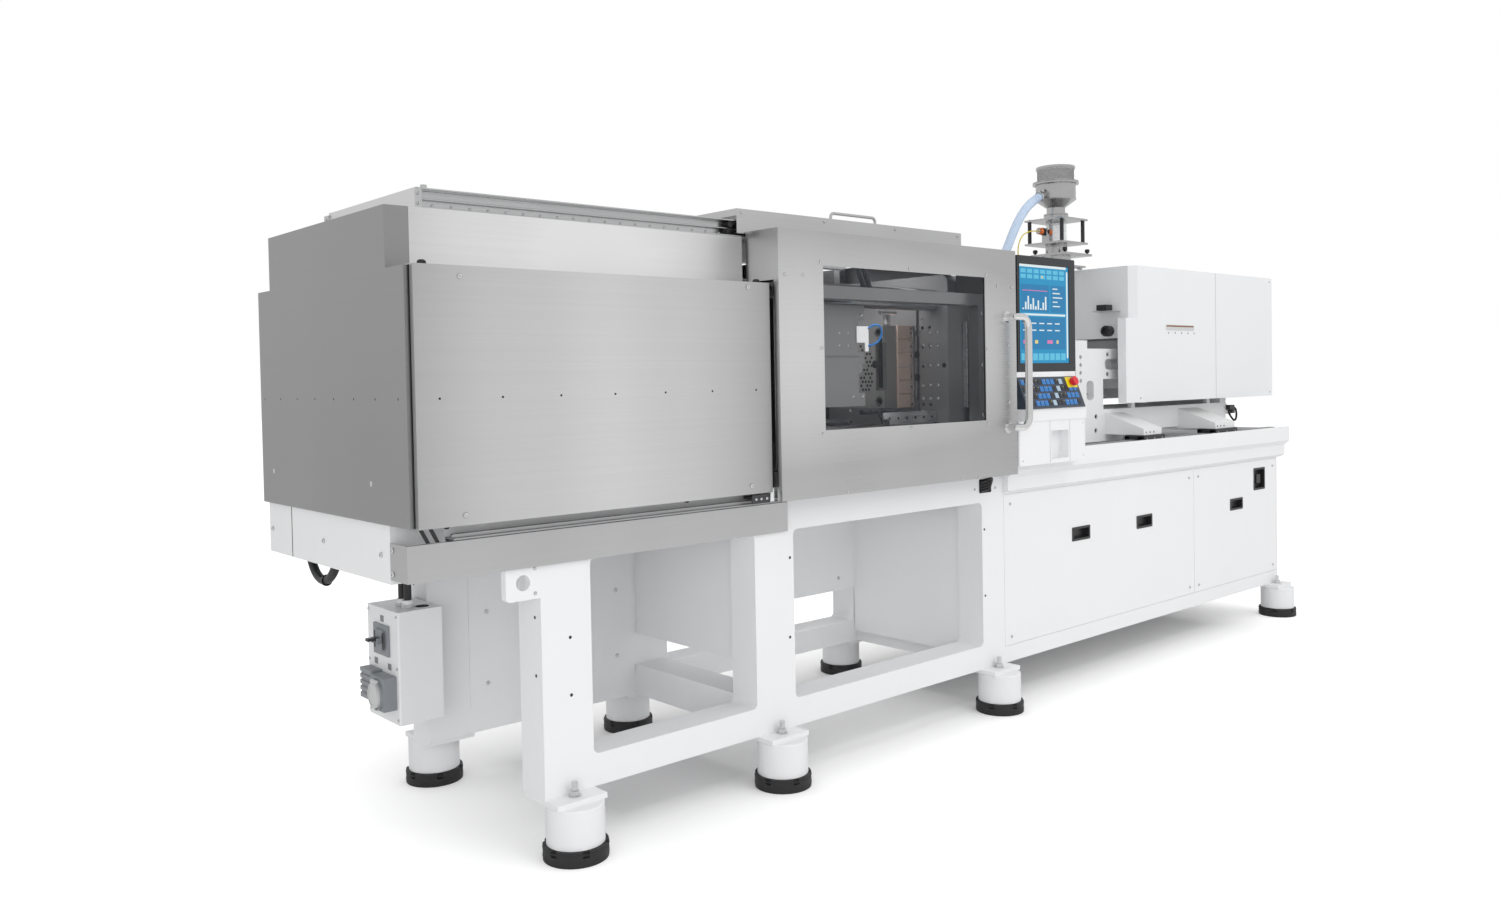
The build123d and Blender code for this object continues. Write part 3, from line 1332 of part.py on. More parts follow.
def casting():
    """Front casting that holds the barrel, with bolted lugs, side pockets and round holes."""
    x0, x1 = CASTING_X
    ledge_x, ledge_z = CASTING_LEDGE
    neck_x, neck_z = CASTING_NECK
    face = outline([
        (x0, CARRIAGE_TOP), (neck_x, CARRIAGE_TOP), (neck_x, neck_z), (x1, neck_z),
        (x1, ledge_z), (ledge_x, ledge_z), (ledge_x, CASTING_TOP), (x0, CASTING_TOP),
    ])
    body = along_y(face, about_axis(CARRIAGE_HALF))
    body -= rod((x0 - 1, AXIS_Y, AXIS_Z), (x1 + 1, AXIS_Y, AXIS_Z), BARREL_R + SNUG)
    front = AXIS_Y - CARRIAGE_HALF
    x, z, deep = CASTING_POCKET
    pocket = along_y(rounded(x, z, 20), (front - 1, front + deep))
    (recess_x, recess_z0), (recess_z1, recess_deep) = LUG_RECESS
    recess_z = (recess_z0, recess_z1)
    radius = (recess_z1 - recess_z0) / 2 - 1
    recess = along_y(rounded((recess_x, x1 + 4 * radius), recess_z, radius), (front - 1, front + recess_deep))
    for cut in (pocket, recess):
        body -= cut
        body -= across_axis(cut)
    for x, z in LUG_BOLTS:
        body -= side_holes(x, z, *LUG_BOLT)
    inset, top, pitch, hole_r = CASTING_HOLES
    for number in range(4):
        body -= side_holes(x0 + inset, top - number * pitch, hole_r, 20)
    return body


def rear_casting():
    """Rear plate of the injection unit with the motor behind it."""
    length, radius = INJ_MOTOR
    back = REAR_CASTING_X[1]
    plate = block(REAR_CASTING_X, about_axis(CARRIAGE_HALF), (CARRIAGE_TOP, REAR_CASTING_TOP))
    return plate + rod((back, AXIS_Y, AXIS_Z), (back + length, AXIS_Y, AXIS_Z), radius)


def injection_rods():
    """Rods between the two castings on which the injection plate slides."""
    rods = []
    for side in (-1, 1):
        y = AXIS_Y + side * ROD_OUT
        rods.append(rod((CASTING_X[1], y, AXIS_Z), (REAR_CASTING_X[0], y, AXIS_Z), ROD_R))
    return rods


def injection_plate():
    """Sliding plate that pushes the screw."""
    front, back = DRIVE_PLATE_X
    half_y, half_z = DRIVE_PLATE_HALF
    length, radius = SCREW_MOTOR
    plate = along_x(rounded(about_axis(half_y), (AXIS_Z - half_z, AXIS_Z + half_z), 20), DRIVE_PLATE_X)
    for side in (-1, 1):
        y = AXIS_Y + side * ROD_OUT
        plate -= rod((front - 1, y, AXIS_Z), (back + 1, y, AXIS_Z), ROD_R + RUN)
    return plate + rod((back, AXIS_Y, AXIS_Z), (back + length, AXIS_Y, AXIS_Z), radius)


def barrel():
    """Heated barrel with its nozzle and a feed hole under the hopper."""
    cap_long, cap_r = BARREL_CAP
    tip_long, tip_r = NOZZLE_CONE
    cap_x = BARREL_X0 - cap_long
    cone_x = NOZZLE_TIP + tip_long
    bore_x = BARREL_X0 + BORE_START
    tube = rod((BARREL_X0, AXIS_Y, AXIS_Z), (CASTING_X[1], AXIS_Y, AXIS_Z), BARREL_R)
    tube += rod((cap_x, AXIS_Y, AXIS_Z), (BARREL_X0, AXIS_Y, AXIS_Z), cap_r)
    tube += rod((cone_x, AXIS_Y, AXIS_Z), (cap_x, AXIS_Y, AXIS_Z), NOZZLE_R)
    tube += Location(((NOZZLE_TIP + cone_x) / 2, AXIS_Y, AXIS_Z), (0, 90, 0)) * Cone(tip_r, NOZZLE_R, tip_long)
    tube -= rod((bore_x, AXIS_Y, AXIS_Z), (CASTING_X[1] + 1, AXIS_Y, AXIS_Z), BORE_R + RUN)
    tube -= rod((NOZZLE_TIP - 1, AXIS_Y, AXIS_Z), (bore_x + 1, AXIS_Y, AXIS_Z), NOZZLE_HOLE_R)
    tube -= rod((FEED_X, AXIS_Y, AXIS_Z + BORE_R - 2), (FEED_X, AXIS_Y, AXIS_Z + BARREL_R + 1), FEED_HOLE_R)
    return tube


def heater_bands():
    """Band heaters round the barrel, split at the clamp screw."""
    bands = []
    start = BARREL_X0 + HEATER_START
    pitch = (CASTING_X[0] - start) / HEATER_COUNT
    for number in range(HEATER_COUNT):
        x = (start + number * pitch, start + (number + 1) * pitch - HEATER_GAP)
        band = rod((x[0], AXIS_Y, AXIS_Z), (x[1], AXIS_Y, AXIS_Z), HEATER_R)
        band -= rod((x[0] - 1, AXIS_Y, AXIS_Z), (x[1] + 1, AXIS_Y, AXIS_Z), BARREL_R + SNUG)
        bands.append(band - block(grow(x, 1), about_axis(2), (AXIS_Z - HEATER_R - 1, AXIS_Z - BARREL_R + 1)))
    return bands


def plasticising_screw():
    """Screw inside the barrel, with a pointed tip, up to the sliding plate."""
    tip_long, tip_r = SCREW_CONE
    x0 = BARREL_X0 + SCREW_BACK
    x1 = DRIVE_PLATE_X[0] - LOOSE
    shaft = rod((x0 + tip_long, AXIS_Y, AXIS_Z), (x1, AXIS_Y, AXIS_Z), BORE_R)
    return shaft + Location((x0 + tip_long / 2, AXIS_Y, AXIS_Z), (0, 90, 0)) * Cone(tip_r, BORE_R, tip_long)


def cover_plan(inset):
    """Plan of the injection cover with its front corners cut off, moved in by an amount."""
    x1, x2 = INJ_COVER_X[1] + inset, INJ_COVER_X[2] - inset
    low, high = grow(about_axis(INJ_COVER_HALF), -inset)
    cut = INJ_COVER_CHAMFER
    return outline([
        (x1, low + cut), (x1 + cut, low), (x2, low), (x2, high), (x1 + cut, high), (x1, high - cut),
    ])


def cover_wing():
    """Lower front wing of the injection cover, which reaches further forward."""
    x0, x1, x2 = INJ_COVER_X
    z0, z1, z2 = INJ_COVER_Z
    wall = INJ_COVER_WALL
    edge = AXIS_Y - INJ_COVER_HALF
    x = (x0, x1 + INJ_COVER_CHAMFER + 1)
    wing = block(x, (edge, edge + wall), (z0, z1))
    wing += block((x0, x0 + wall), (edge, edge + WING_RETURN), (z0, z1))
    return wing + block(x, (edge, edge + WING_RETURN), (z1 - wall, z1))


def cover_legs():
    """Brackets that carry the front side of the injection cover on the carriage."""
    x0, x1, x2 = INJ_COVER_X
    z0 = INJ_COVER_Z[0]
    side = AXIS_Y - CARRIAGE_HALF
    inner = AXIS_Y - INJ_COVER_HALF + INJ_COVER_WALL
    legs = []
    for x in (x1 + COVER_LEG_IN, REAR_CASTING_X[0] - COVER_LEG_IN):
        wide = (x - COVER_LEG_W, x + COVER_LEG_W)
        leg = block(wide, (inner, side + 20), (z0, z0 + INJ_COVER_WALL))
        legs.append(leg + block(wide, (side, side + 20), (CARRIAGE_TOP, z0)))
    return legs


def injection_cover():
    """White cover over the injection drive, open below and round the casting."""
    x0, x1, x2 = INJ_COVER_X
    z0, z1, z2 = INJ_COVER_Z
    wall = INJ_COVER_WALL
    shell = along_z(cover_plan(0), (z0, z2))
    shell -= along_z(cover_plan(wall), (z0 - 1, z2 - wall))
    shell -= block((x1 - 1, x1 + INJ_COVER_CHAMFER), about_axis(INJ_COVER_HALF + 1), (z0 - 1, CASTING_TOP + 12))
    for piece in (cover_wing(), *cover_legs()):
        shell = shell + piece + across_axis(piece)
    return shell


def ring(x, y, z, outer, inner):
    """Round tube section about a vertical line."""
    body = rod((x, y, z[0]), (x, y, z[1]), outer)
    return body - rod((x, y, z[0] - 1), (x, y, z[1] + 1), inner)


def hopper_throat():
    """Feed column on the casting with the loader's base plates."""
    seat = CASTING_LEDGE[1]
    under = LOADER_BASE_Z - LOADER_BASE_T
    over_x, half_y, over_z = NECK_OVER
    column = ring(FEED_X, AXIS_Y, (seat, under), THROAT_R, FEED_BORE_R)
    base = block(LOADER_BASE_X, about_axis(LOADER_BASE_HALF), (under, LOADER_BASE_Z))
    neck = block((FEED_X - over_x, FEED_X + over_x), about_axis(half_y), grow(SHUTTER_Z, over_z))
    bore = rod((FEED_X, AXIS_Y, seat), (FEED_X, AXIS_Y, LOADER_BASE_Z + 1), FEED_BORE_R)
    slot_x = (FEED_X - THROAT_R - 1, FEED_X + THROAT_R + 1)
    slot = block(slot_x, about_axis(SHUTTER_HALF + LOOSE), grow(SHUTTER_Z, LOOSE))
    return (column + base + neck) - bore - slot


def hopper_shutter():
    """Sliding shutter plate with a hole and a pull knob."""
    plate = block(SHUTTER_X, about_axis(SHUTTER_HALF), SHUTTER_Z)
    plate -= rod((FEED_X, AXIS_Y, SHUTTER_Z[0] - 1), (FEED_X, AXIS_Y, SHUTTER_Z[1] + 1), FEED_BORE_R - 1)
    middle = sum(SHUTTER_Z) / 2
    end = SHUTTER_X[1]
    return plate + rod((end, AXIS_Y, middle), (end + SHUTTER_KNOB[0], AXIS_Y, middle), SHUTTER_KNOB[1])


def flange_plate(bottom):
    """Square flange plate with the pipe's bore."""
    square = (FEED_X - FLANGE_HALF, FEED_X + FLANGE_HALF)
    plate = block(square, about_axis(FLANGE_HALF), (bottom, bottom + FLANGE_T))
    return plate - rod((FEED_X, AXIS_Y, bottom - 1), (FEED_X, AXIS_Y, bottom + FLANGE_T + 1), PIPE_R[1])


def loader_pipe():
    """Pipe and two square flange plates."""
    pipe = ring(FEED_X, AXIS_Y, (LOADER_BASE_Z, LOW_FLANGE_Z), *PIPE_R)
    return [pipe + flange_plate(LOW_FLANGE_Z), flange_plate(HIGH_FLANGE_Z)]


def flange_posts():
    """Four posts between the flange plates."""
    out, radius = FLANGE_POST
    z = (LOW_FLANGE_Z + FLANGE_T, HIGH_FLANGE_Z)
    spots = [(FEED_X + a * out, AXIS_Y + b * out) for a in (-1, 1) for b in (-1, 1)]
    return [rod((*spot, z[0]), (*spot, z[1]), radius) for spot in spots]


def sight_glass():
    """Clear tube between the flange plates."""
    return ring(FEED_X, AXIS_Y, (LOW_FLANGE_Z + FLANGE_T, HIGH_FLANGE_Z), *SIGHT_R)


def loader_body():
    """Loader vessel: collar, neck, cone and drum with an inlet stub."""
    foot = HIGH_FLANGE_Z + FLANGE_T
    collar_r, collar_h = COLLAR
    neck_r, neck_h = NECK
    drum_r, drum_z, drum_top = DRUM
    rim_r, rim_h = VESSEL_RIM
    wall = VESSEL_WALL
    profile = outline([
        (0, foot), (collar_r, foot), (collar_r, foot + collar_h), (neck_r, foot + collar_h),
        (neck_r, foot + neck_h), (drum_r, drum_z), (drum_r, drum_top), (rim_r, drum_top),
        (rim_r, drum_top + rim_h), (drum_r - wall, drum_top + rim_h), (drum_r - wall, drum_z + 4),
        (neck_r - wall - 4, foot + neck_h), (neck_r - wall - 4, foot + wall), (0, foot + wall),
    ])
    body = Pos(FEED_X, AXIS_Y, 0) * revolve(Plane.XZ * profile, Axis.Z)
    (near, near_z), (far, far_z) = INLET
    start = Vector(FEED_X - near, AXIS_Y, near_z)
    end = Vector(FEED_X - far, AXIS_Y, far_z)
    way = (end - start).normalized()
    body += rod(tuple(start), tuple(end), INLET_R[0])
    return body - rod(tuple(start - way * 8), tuple(end + way * 2), INLET_R[1])


def loader_lid():
    """Perforated filter and lid on the loader."""
    filter_r, filter_top = FILTER
    lid_r, lid_h = LOADER_LID
    filter_z = (DRUM[2] + VESSEL_RIM[1], filter_top)
    filter_drum = rod((FEED_X, AXIS_Y, filter_z[0]), (FEED_X, AXIS_Y, filter_top), filter_r)
    return filter_drum + rod((FEED_X, AXIS_Y, filter_top), (FEED_X, AXIS_Y, filter_top + lid_h), lid_r)


def route_tube(name, points, radius):
    """Cord tube: straight runs joined by arcs as large as the runs allow."""
    spots = [Vector(*point) for point in points]
    bends = []
    for before, here, after in zip(spots, spots[1:], spots[2:]):
        one, two = here - before, after - here
        half_turn = math.radians(one.get_angle(two)) / 2
        bends.append(0.45 * min(one.length, two.length) / math.tan(half_turn))
    print(name, "bend radii", [round(bend) for bend in bends])
    path = FilletPolyline(*points, radius=bends)
    tube = sweep(Plane(origin=path @ 0, z_dir=path % 0) * Circle(radius), path=path)
    ratio = tube.volume / path.length / math.pi / radius ** 2
    print(name, "length", round(path.length), "volume ratio", round(ratio, 4))
    return tube


def hose_bracket():
    """Bracket with a coupling for the hose, on the back of the fixed platen."""
    x, z = HOSE_END
    coupling = rod((x - 60, AXIS_Y, z), (x, AXIS_Y, z), HOSE_R + 5)
    arm = block((FIXED_PLATEN_X[1], x - 20), about_axis(14), (z - 40, z - 18))
    plate = block((FIXED_PLATEN_X[1], FIXED_PLATEN_X[1] + 8), about_axis(40), (z - 60, z + 30))
    return coupling + arm + plate


def loader_sensor():
    """Level sensor in its holder on the lower flange plate."""
    x = FEED_X - SENSOR_IN
    seat = LOW_FLANGE_Z + FLANGE_T
    z = seat + SENSOR_UP
    body = block((x, x + 20), about_axis(SENSOR_R), (seat, z + SENSOR_R))
    return body + rod((x - SENSOR_REACH[0], AXIS_Y, z), (x + SENSOR_REACH[1], AXIS_Y, z), SENSOR_R)


def sensor_cable():
    """Thin cable from the level sensor, in a bow down to the casting."""
    start = (FEED_X - SENSOR_IN - SENSOR_REACH[0], AXIS_Y, LOW_FLANGE_Z + FLANGE_T + SENSOR_UP)
    end = (CABLE_END_X, AXIS_Y, CASTING_TOP)
    bow = Bezier(start, (start[0] - CABLE_BOW, *start[1:]), (end[0], AXIS_Y, end[2] + CABLE_RISE), end)
    points = [tuple(bow @ (number / (CABLE_POINTS - 1))) for number in range(CABLE_POINTS)]
    return route_tube("sensor_cable", points, CABLE_R)


def box_route(y):
    """Route of a conduit from the power box up to the bed's deck."""
    x = BOX_HOSE_X
    bottom = POWER_BOX_Z[1] + GLAND[1]
    return [(x, y, bottom), (x, y, 668), (x - 10, y + 4, 736), (x, y, 804), (x, y, BED_TOP - DECK_T)]


def base_hoses():
    """Two conduits on the power box and the hose loop under the end beam."""
    conduits = [route_tube("box_hose", box_route(y), BOX_HOSE_R) for y in BOX_HOSE_Y]
    return conduits + [route_tube("loop_hose", LOOP_ROUTE, LOOP_HOSE_R)]


def material_hose():
    """Clear hose from the loader's inlet down behind the door."""
    (near, near_z), (far, far_z) = INLET
    fall = (near_z - far_z) / (far - near)
    straight = 70.0
    start = (FEED_X - far, AXIS_Y, far_z)
    second = (start[0] - straight, AXIS_Y, far_z - straight * fall)
    middle = [(x, AXIS_Y, z) for x, z in HOSE_ROUTE_XZ]
    end = (HOSE_END[0], AXIS_Y, HOSE_END[1])
    return route_tube("material_hose", [start, second, *middle, end], HOSE_R)


def console_box():
    """White console box with a pocket, its ledge and the column behind it."""
    rim_front = AXIS_Y - BASE_HALF - RIM_OUT
    box = block(CONSOLE_X, (CONSOLE_Y, rim_front), CONSOLE_Z)
    box = fillet(box.edges().filter_by(Axis.Z).group_by(Axis.Y)[0], 6)
    pocket_x, pocket_z, deep = CONSOLE_POCKET
    box -= along_y(rounded(pocket_x, pocket_z, 8), (CONSOLE_Y - 1, CONSOLE_Y + deep))
    back = SCREEN_Y + SCREEN_T
    ledge = block((KEYS_X[0], CONSOLE_X[1]), (CONSOLE_Y - LEDGE_OUT, back), LEDGE_Z)
    column_y = (rim_front + COLUMN_Y[0], rim_front + COLUMN_Y[1])
    column = block(COLUMN_X, column_y, (RIM_TOP, SCREEN_Z[0] + COLUMN_UP))
    column -= block(grow(COLUMN_X, 1), (column_y[0] - 1, back), (RIM_TOP + 60, SCREEN_Z[1]))
    column += block(COLUMN_X, column_y, (RIM_TOP, CONSOLE_Z[1]))
    return box + ledge + column


def keyboard_point(share):
    """Y and Z on the keyboard's slope, from its low edge (0) to its high edge (1)."""
    y = SCREEN_Y - KEYS_SLOPE * (1 - share)
    return (y, KEYS_Z[0] + (KEYS_Z[1] - KEYS_Z[0]) * share)


def keyboard():
    """Slanted keyboard housing."""
    low, high = keyboard_point(0), keyboard_point(1)
    back = SCREEN_Y + SCREEN_T
    face = outline([low, high, (back, high[1]), (back, LEDGE_Z[1]), (low[0], LEDGE_Z[1])])
    return along_x(face, KEYS_X) - rod(stop_point(0), stop_point(-STOP_HOLE), STOP_STEM_R + SNUG)


def stop_point(out):
    """Point on the stop button's line, a given height above the slope."""
    y, z = keyboard_point(STOP_SHARE)
    run = KEYS_Z[1] - KEYS_Z[0]
    size = math.hypot(run, KEYS_SLOPE)
    return (STOP_X, y - out * run / size, z + out * KEYS_SLOPE / size)


def stop_button():
    """Red mushroom button with its stem."""
    bottom, under, top = STOP_STEM
    head = rod(stop_point(under), stop_point(top), STOP_R)
    return head + rod(stop_point(bottom), stop_point(under), STOP_STEM_R)


def monitor():
    """Monitor housing with a screen recess, on a white bar."""
    body = block(SCREEN_X, (SCREEN_Y, SCREEN_Y + SCREEN_T), SCREEN_Z)
    body = fillet(body.edges().filter_by(Axis.Y), 6)
    body -= along_y(rectangle(GLASS_X, GLASS_Z), (SCREEN_Y - 1, SCREEN_Y + GLASS_DEEP))
    return body


def monitor_bar():
    """White bar between the monitor and the keyboard."""
    return block(KEYS_X, (SCREEN_Y, SCREEN_Y + SCREEN_T), (KEYS_Z[1], SCREEN_Z[0]))


def clamp_parts():
    """Parts that stand still on the clamp side."""
    return {
        "clamp_frame": [clamp_frame(), *both_sides(lifting_lug()), clamp_bed(), end_beam(), *bay_panels()],
        "foot_pads": foot_pads(),
        "foot_cylinders": foot_cylinders(),
        "anchor_bolts": anchor_bolts(),
        "apron": [apron(), sloped_ledge()],
        "end_panel": [end_panel()],
        "clamp_covers": [hood(), across_middle(hood()), roof(), roof_box(),
                         upper_panel(), across_middle(upper_panel())],
        "door_rails": [door_rail(-1, BASE_FRONT), door_rail(1, BASE_REAR), *hood_supports()],
        "gate_rails": [*gate_rails(), *rail_posts(), *gate_stops()],
        "platen_brackets": [header_channel(), door_post(), hose_bracket()],
        "rear_platen": [rear_platen()],
        "fixed_platen": [fixed_platen()],
        "tie_bars": tie_bars() + tie_bar_nuts(),
        "fixed_mould": fixed_mould(),
        "insulating_plate": [insulating_plate()],
        "clamp_drive": clamp_drive() + clamp_motor(),
        "power_box": [power_box()],
        "sockets": [breaker_plate(), *sockets()],
        "base_hoses": base_hoses(),
    }


def moving_clamp_parts():
    """Doors, gate, moving platen and toggle."""
    rear, front, short = rear_links(), front_links(), cross_links()
    leaf = door()
    glass = window_glass()
    grip = door_handle()
    return {
        "top_gate": [top_gate(), gate_handle()],
        "front_door": [leaf, grip],
        "front_window": [glass],
        "rear_door": [across_middle(leaf), across_middle(grip)],
        "rear_window": [across_middle(glass)],
        "moving_platen": [moving_platen()],
        "platen_cover": [platen_cover()],
        "moving_mould": moving_mould(),
        "ejector": [ejector()],
        "rear_links_upper": rear,
        "rear_links_lower": [upside_down(item) for item in rear],
        "front_links_upper": front,
        "front_links_lower": [upside_down(item) for item in front],
        "cross_links_upper": short,
        "cross_links_lower": [upside_down(item) for item in short],
        "crosshead": [crosshead()],
        "clamp_screw": [clamp_screw()],
        "breaker_lever": [breaker_lever()],
        "socket_lid": [socket_lid()],
    }


def injection_parts():
    """Injection base, console and the injection unit on its carriage."""
    return {
        "injection_frame": [injection_frame()],
        "skirt_panels": skirt_panels() + [across_axis(panel) for panel in skirt_panels()],
        "panel_pulls": panel_pulls() + [across_axis(cup) for cup in panel_pulls()],
        "bed_rim": [bed_rim()],
        "linear_rails": linear_rails(),
        "console_box": [console_box(), monitor_bar()],
        "keyboard": [keyboard()],
        "monitor": [monitor()],
        "stop_button": [stop_button()],
        "carriage": [carriage(), casting(), rear_casting(), *injection_rods()],
        "bearing_shoes": bearing_shoes(),
        "barrel": [barrel(), *heater_bands()],
        "plasticising_screw": [plasticising_screw()],
        "injection_plate": [injection_plate()],
        "injection_cover": [injection_cover()],
        "hopper_throat": [hopper_throat(), *loader_pipe(), *flange_posts(), loader_sensor()],
        "hopper_shutter": [hopper_shutter()],
        "sight_glass": [sight_glass()],
        "loader": [loader_body(), loader_lid()],
        "sensor_cable": [sensor_cable()],
        "material_hose": [material_hose()],
    }


def save(name, pieces):
    """Write one part, moved so that the origin is under the machine's middle."""
    solids = [solid for piece in pieces for solid in piece.solids()]
    shape = solids[0] if len(solids) == 1 else Compound(solids)
    export_step(Pos(-LENGTH / 2, 0, 0) * shape, os.path.join("parts", name + ".step"))


os.makedirs("parts", exist_ok=True)
for group in (clamp_parts(), moving_clamp_parts(), injection_parts()):
    for part_name, part_pieces in group.items():
        save(part_name, part_pieces)
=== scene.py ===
"""Looks of an injection moulding machine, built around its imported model."""

import logging
import math
from dataclasses import dataclass
from enum import Enum
from typing import Callable, Iterable, Sequence, Union

import bmesh
import bpy
from mathutils import Matrix, Vector


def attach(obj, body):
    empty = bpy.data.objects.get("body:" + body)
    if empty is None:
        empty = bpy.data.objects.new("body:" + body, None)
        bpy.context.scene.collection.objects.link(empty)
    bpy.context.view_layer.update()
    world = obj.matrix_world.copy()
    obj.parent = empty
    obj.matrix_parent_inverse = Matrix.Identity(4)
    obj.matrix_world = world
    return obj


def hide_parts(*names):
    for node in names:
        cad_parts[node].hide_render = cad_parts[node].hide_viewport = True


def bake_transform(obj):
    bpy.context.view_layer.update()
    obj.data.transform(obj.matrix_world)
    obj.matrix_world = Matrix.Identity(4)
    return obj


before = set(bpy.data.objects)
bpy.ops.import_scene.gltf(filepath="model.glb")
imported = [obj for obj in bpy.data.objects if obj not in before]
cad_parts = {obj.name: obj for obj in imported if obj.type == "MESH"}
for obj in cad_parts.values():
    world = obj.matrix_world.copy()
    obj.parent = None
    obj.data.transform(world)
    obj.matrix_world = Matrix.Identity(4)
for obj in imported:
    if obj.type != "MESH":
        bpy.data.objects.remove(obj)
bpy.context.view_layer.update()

LOG = logging.getLogger("machine")
Point = tuple[float, float, float]
Span = tuple[float, float]
Colour = tuple[float, float, float]
Profile = Sequence[Span]

HALF_LENGTH = 2395
MILLIMETRE = 0.001
AXIS_Y = -55
AXIS_Z = 1252
RIB_STEPS = 4

LEFT, RIGHT = (-1, 0, 0), (1, 0, 0)
FRONT, REAR = (0, -1, 0), (0, 1, 0)
DOWN, UP = (0, 0, -1), (0, 0, 1)
SIDES = ((-1, "front", FRONT), (1, "rear", REAR))
WHITE = (1.0, 1.0, 1.0, 1.0)


def at(x: float, y: float, z: float) -> Vector:
    """Turn a place in the machine's own millimetres into metres of the frame.

    Args:
        x: Distance from the outer face of the end panel.
        y: Distance from the middle between the covers.
        z: Height above the floor.

    Returns:
        The same place in the frame.
    """
    return Vector((x - HALF_LENGTH, y, z)) * MILLIMETRE


class Body(Enum):
    """Bodies that pieces ride on."""

    BASE = "base"
    FRONT_DOOR = "front_door"
    REAR_DOOR = "rear_door"
    TOP_GATE = "top_gate"
    MOVING_PLATEN = "moving_platen"
    CARRIAGE = "carriage"
    SOCKET_LID = "socket_lid"


class Axis(Enum):
    """Directions that a profile is drawn out along."""

    Y = 1
    Z = 2


class Shader:
    """Node tree of one material or world."""

    def __init__(self, holder: bpy.types.Material | bpy.types.World) -> None:
        """Start an empty tree.

        Args:
            holder: Material or world that the tree belongs to.
        """
        holder.use_nodes = True
        self.tree = holder.node_tree
        self.tree.nodes.clear()

    def node(self, kind: str, sockets: dict | None = None, **settings: str) -> bpy.types.Node:
        """Add one node, with its settings made before its sockets.

        Args:
            kind: Blender's name of the node type, after the word ShaderNode.
            sockets: Input names or numbers with their values or links.
            **settings: Properties of the node.

        Returns:
            The new node.
        """
        made = self.tree.nodes.new("ShaderNode" + kind)
        for key, value in settings.items():
            setattr(made, key, value)
        for key, value in (sockets or {}).items():
            source = value.socket if isinstance(value, Reading) else value
            if isinstance(source, bpy.types.NodeSocket):
                self.tree.links.new(source, made.inputs[key])
            else:
                made.inputs[key].default_value = source
        return made

    def reading(self, made: bpy.types.Node, output: int | str = 0) -> "Reading":
        """Wrap a node's output for use in expressions."""
        return Reading(self, made.outputs[output])

    def noise(self, waves: Point, detail: float) -> "Reading":
        """Soft blotches in the object's own space.

        Args:
            waves: Waves per metre along each axis.
            detail: Number of finer layers.

        Returns:
            A value from 0 to 1.
        """
        place = self.node("TexCoord")
        sized = self.node("Mapping", {"Vector": place.outputs["Object"], "Scale": waves})
        return self.reading(self.node("TexNoise", {"Vector": sized.outputs[0], "Scale": 1, "Detail": detail}))

    def place(self) -> list["Reading"]:
        """The three coordinates in the object's own space, in metres."""
        place = self.node("TexCoord")
        split = self.node("SeparateXYZ", {0: place.outputs["Object"]})
        return [self.reading(split, axis) for axis in range(3)]

    def seen(self) -> "Reading":
        """1 for rays from the camera, also through a pane, and else 0."""
        path = self.node("LightPath")
        return (self.reading(path, "Is Camera Ray") + self.reading(path, "Is Transmission Ray")).within()

    def tint(self, tone: "Reading", share: "Reading") -> "Reading":
        """A colour made brighter or darker.

        Args:
            tone: The colour.
            share: Factor of its brightness.

        Returns:
            The new colour.
        """
        return self.reading(self.node("VectorMath", {0: tone, "Scale": share}, operation="SCALE"))

    def blend(self, share: "Reading", low: Colour, high: Colour) -> "Reading":
        """Colour between two others.

        Args:
            share: 0 for the first colour and 1 for the second.
            low: First colour.
            high: Second colour.

        Returns:
            The mixed colour.
        """
        mix = self.node("Mix", {"Factor": share, 6: (*low, 1.0), 7: (*high, 1.0)}, data_type="RGBA")
        return self.reading(mix, 2)

    def bump(self, heights: "Reading", strength: float, depth: float) -> "Reading":
        """Surface relief.

        Args:
            heights: Relief from 0 to 1.
            strength: Share of the relief that shows.
            depth: Depth of the relief in metres.

        Returns:
            A normal.
        """
        return self.reading(self.node("Bump", {"Strength": strength, "Distance": depth, "Height": heights}))

    def surface(self, **sockets: object) -> None:
        """Close the tree with a Principled shader.

        Args:
            **sockets: Socket names, with spaces written as underscores, and their values.
        """
        named = {key.replace("_", " "): value for key, value in sockets.items()}
        shader = self.node("BsdfPrincipled", named)
        self.node("OutputMaterial", {"Surface": shader.outputs[0]})


Term = Union["Reading", float]
MADE: dict[str, bpy.types.Material] = {}


def arithmetic(operation: str, swapped: bool = False) -> Callable[["Reading", Term], "Reading"]:
    """Arithmetic between a reading and another term, as a method.

    Args:
        operation: Blender's name of the operation.
        swapped: Whether the other term comes first.

    Returns:
        The method.
    """
    def method(self: "Reading", other: Term) -> "Reading":
        """Add the Math node."""
        return self.math(operation, other, self) if swapped else self.math(operation, self, other)
    return method


